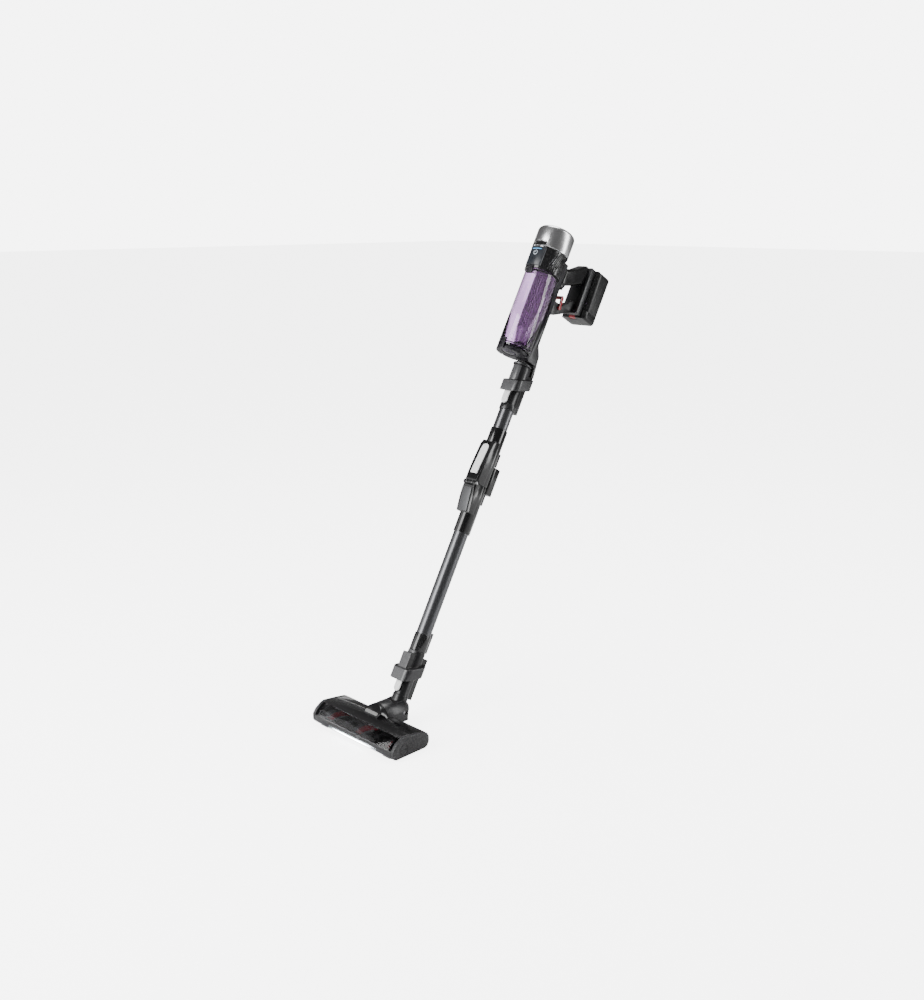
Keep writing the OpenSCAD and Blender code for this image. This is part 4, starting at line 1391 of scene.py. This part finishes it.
@dataclass
class Battery(Assembly):
    """The slide-on battery with its ridges and release."""

    foot: float = 19.6
    corner: float = 12.0
    rim_round: float = 6.0
    ridge_radius: float = 1.2
    ridge_sunk_side: float = 1.1
    ridge_sunk_back: float = 0.9

    def build(self) -> None:
        """Makes every piece of the battery."""
        self.shell()
        self.ridges()
        self.soften("battery_release", RED_PLASTIC, 0.5)

    def shell(self) -> None:
        """Replaces the battery with a two-part shell: rounded ends, rail slots and the release's notch."""
        low, high = STICK.box("battery")
        split = low.z + self.foot
        size = high - low
        centre = (low + high) / 2
        foot = self.notched(size, ((0.0, 9.4, 10.0),))
        body = self.notched(size, ((-16.0, 2.9, 4.0), (16.0, 2.9, 4.0)))
        for name, outline, start, end in (("battery_foot", foot, low.z, split), ("battery_body", body, split, high.z)):
            mould = Mould().plate(outline, end - start, Matrix.Translation((0, centre.y, start)))
            rim = low.z if name == "battery_foot" else high.z
            mould.bevel(self.rim_round, 28.0, 5, keep=lambda e, rim=rim: all(
                abs(v.co.z - rim) < 0.01 and v.co.y > low.y + 4.5 for v in e.verts), clamp=False)
            seam = split
            mould.bevel(0.5, 28.0, 2, keep=lambda e, seam=seam: all(abs(v.co.z - seam) < 0.01 for v in e.verts))
            self.piece(name, mould, BATTERY_BLACK, "battery", *(("battery",) if name == "battery_body" else ()))

    def notched(self, size: Vector, notches: tuple[tuple[float, float, float], ...]) -> list[tuple[float, float]]:
        """Outline of the battery seen along the stick, with notches in its front.

        Args:
            size: Its width, depth and height.
            notches: Centre, half width and depth of each notch, from left to right.

        Returns:
            The outline, centred on the origin.
        """
        outline = round_outline(size.x, size.y, self.corner, 10)
        front = -size.y / 2
        last = max(i for i, p in enumerate(outline) if p[0] < 0 and p[1] < front + 0.01)
        cuts = [point for middle, half, deep in notches for point in (
            (middle - half, front), (middle - half, front + deep), (middle + half, front + deep),
            (middle + half, front))]
        return outline[:last + 1] + cuts + outline[last + 1:]

    def ridges(self) -> None:
        """Raises the long ridges down the sides and the back."""
        low, high = STICK.box("battery")
        mould = Mould()
        side, back = high.x - self.ridge_sunk_side, high.y - self.ridge_sunk_back
        for x, n, foot in ((-side, low.y + 18, 16), (-side, low.y + 26, 16), (side, low.y + 18, 16),
                           (side, low.y + 26, 16), (-14, back, 14), (-5, back, 14), (5, back, 14), (14, back, 14)):
            mould.sweep([Vector((x, n, k)) for k in (low.z + foot, high.z - 12)], self.ridge_radius, 12)
        self.piece("battery_ridges", mould, BATTERY_BLACK, "battery")


# ---------- Studio ----------


@dataclass(frozen=True)
class SoftBox:
    """A soft light: where it hangs, its size in metres and its power in watts."""

    name: str
    at: tuple[float, float, float]
    size: tuple[float, float]
    power: float


SOFT_BOXES = (
    SoftBox("key_box", (-0.5, -2.1, 1.4), (1.3, 2.8), 120.0),
    SoftBox("fill_box", (-2.0, -1.6, 1.0), (1.6, 1.6), 12.0),
    SoftBox("side_box", (2.3, 1.9, 1.4), (0.8, 2.8), 60.0),
    SoftBox("top_box", (-0.4, 1.0, 3.0), (1.2, 1.2), 50.0),
)


@dataclass(frozen=True)
class Studio:
    """Pale floor, soft lights and the camera."""

    camera_at: Vector = Vector((1.6542, -1.4160, 1.0648))
    azimuth_deg: float = 44.87
    pitch_deg: float = 14.46
    lens_mm: float = 40.14
    floor_glow: float = 5.0
    room_glow: float = 6.5
    room_fill: float = 0.14
    through_share: float = 0.4
    floor_half: float = 30.0
    lit_at: Vector = Vector((0.0, 0.3, 0.6))

    def build(self) -> None:
        """Sets the whole studio up."""
        self.floor()
        self.camera()
        self.lights()
        self.world()

    def floor(self) -> None:
        """Lays the pale floor."""
        bm = bmesh.new()
        bmesh.ops.create_grid(bm, x_segments=1, y_segments=1, size=self.floor_half)
        mesh = bpy.data.meshes.new("studio_floor")
        bm.to_mesh(mesh)
        bm.free()
        obj = bpy.data.objects.new("studio_floor", mesh)
        bpy.context.scene.collection.objects.link(obj)
        material = bpy.data.materials.new("floor_paper")
        material.use_nodes = True
        shader = material.node_tree.nodes["Principled BSDF"]
        shader.inputs["Base Color"].default_value = (0.93, 0.93, 0.93, 1.0)
        shader.inputs["Roughness"].default_value = 0.9
        shader.inputs["Specular IOR Level"].default_value = 0.1
        shader.inputs["Emission Color"].default_value = (1.0, 1.0, 1.0, 1.0)
        shown = self.camera_only(material.node_tree, self.floor_glow, 0.0)
        material.node_tree.links.new(shown, shader.inputs["Emission Strength"])
        mesh.materials.append(material)

    def camera_only(self, tree: bpy.types.NodeTree, seen: float, unseen: float) -> bpy.types.NodeSocket:
        """Gives one strength to camera rays, a share of it to rays through clear plastic, another to the rest.

        Args:
            tree: The nodes to add to.
            seen: Strength for camera rays.
            unseen: Strength for reflections and light.

        Returns:
            The strength.
        """
        path = tree.nodes.new("ShaderNodeLightPath")
        spread = tree.nodes.new("ShaderNodeMapRange")
        spread.inputs["To Min"].default_value = unseen
        spread.inputs["To Max"].default_value = seen
        through = tree.nodes.new("ShaderNodeMath")
        through.operation = "MULTIPLY_ADD"
        through.use_clamp = True
        through.inputs[1].default_value = self.through_share
        tree.links.new(path.outputs["Is Transmission Ray"], through.inputs[0])
        tree.links.new(path.outputs["Is Camera Ray"], through.inputs[2])
        tree.links.new(through.outputs[0], spread.inputs["Value"])
        return spread.outputs["Result"]

    def camera(self) -> None:
        """Sets the camera up."""
        data = bpy.data.cameras.new("studio_camera")
        data.lens = self.lens_mm
        data.sensor_width = 36.0
        data.sensor_fit = "AUTO"
        data.clip_end = 100.0
        camera = bpy.data.objects.new("studio_camera", data)
        camera.location = self.camera_at
        camera.rotation_euler = (math.radians(90.0 - self.pitch_deg), 0.0, math.radians(self.azimuth_deg))
        bpy.context.scene.collection.objects.link(camera)
        bpy.context.scene.camera = camera

    def lights(self) -> None:
        """Hangs the soft boxes."""
        for box in SOFT_BOXES:
            data = bpy.data.lights.new(box.name, "AREA")
            data.shape = "RECTANGLE"
            data.size, data.size_y = box.size
            data.energy = box.power
            lamp = bpy.data.objects.new(box.name, data)
            lamp.location = box.at
            lamp.rotation_euler = (self.lit_at - Vector(box.at)).to_track_quat("-Z", "Y").to_euler()
            bpy.context.scene.collection.objects.link(lamp)

    def world(self) -> None:
        """Lights the room evenly."""
        world = bpy.data.worlds.new("studio_room")
        world.use_nodes = True
        world.node_tree.nodes["Background"].inputs["Color"].default_value = (1.0, 1.0, 1.0, 1.0)
        strength = self.camera_only(world.node_tree, self.room_glow, self.room_fill)
        world.node_tree.links.new(strength, world.node_tree.nodes["Background"].inputs["Strength"])
        bpy.context.scene.world = world


def main() -> None:
    """Builds the classes in order."""
    logging.basicConfig(level=logging.INFO, format="%(name)s %(message)s")
    for effect in (moulded_grain, edge_wear, settled_dust, brushed_lines):
        effect()
    dress_cad()
    for assembly in (FloorHead(WORLD), Neck(WORLD), Wand(STICK.place), MotorPod(STICK.place),
                     Bin(STICK.place), Battery(STICK.place)):
        assembly.build()
        log.info("%s: %d pieces", type(assembly).__name__, len(assembly.made))
    Studio().build()


if __name__ == "__main__":
    main()
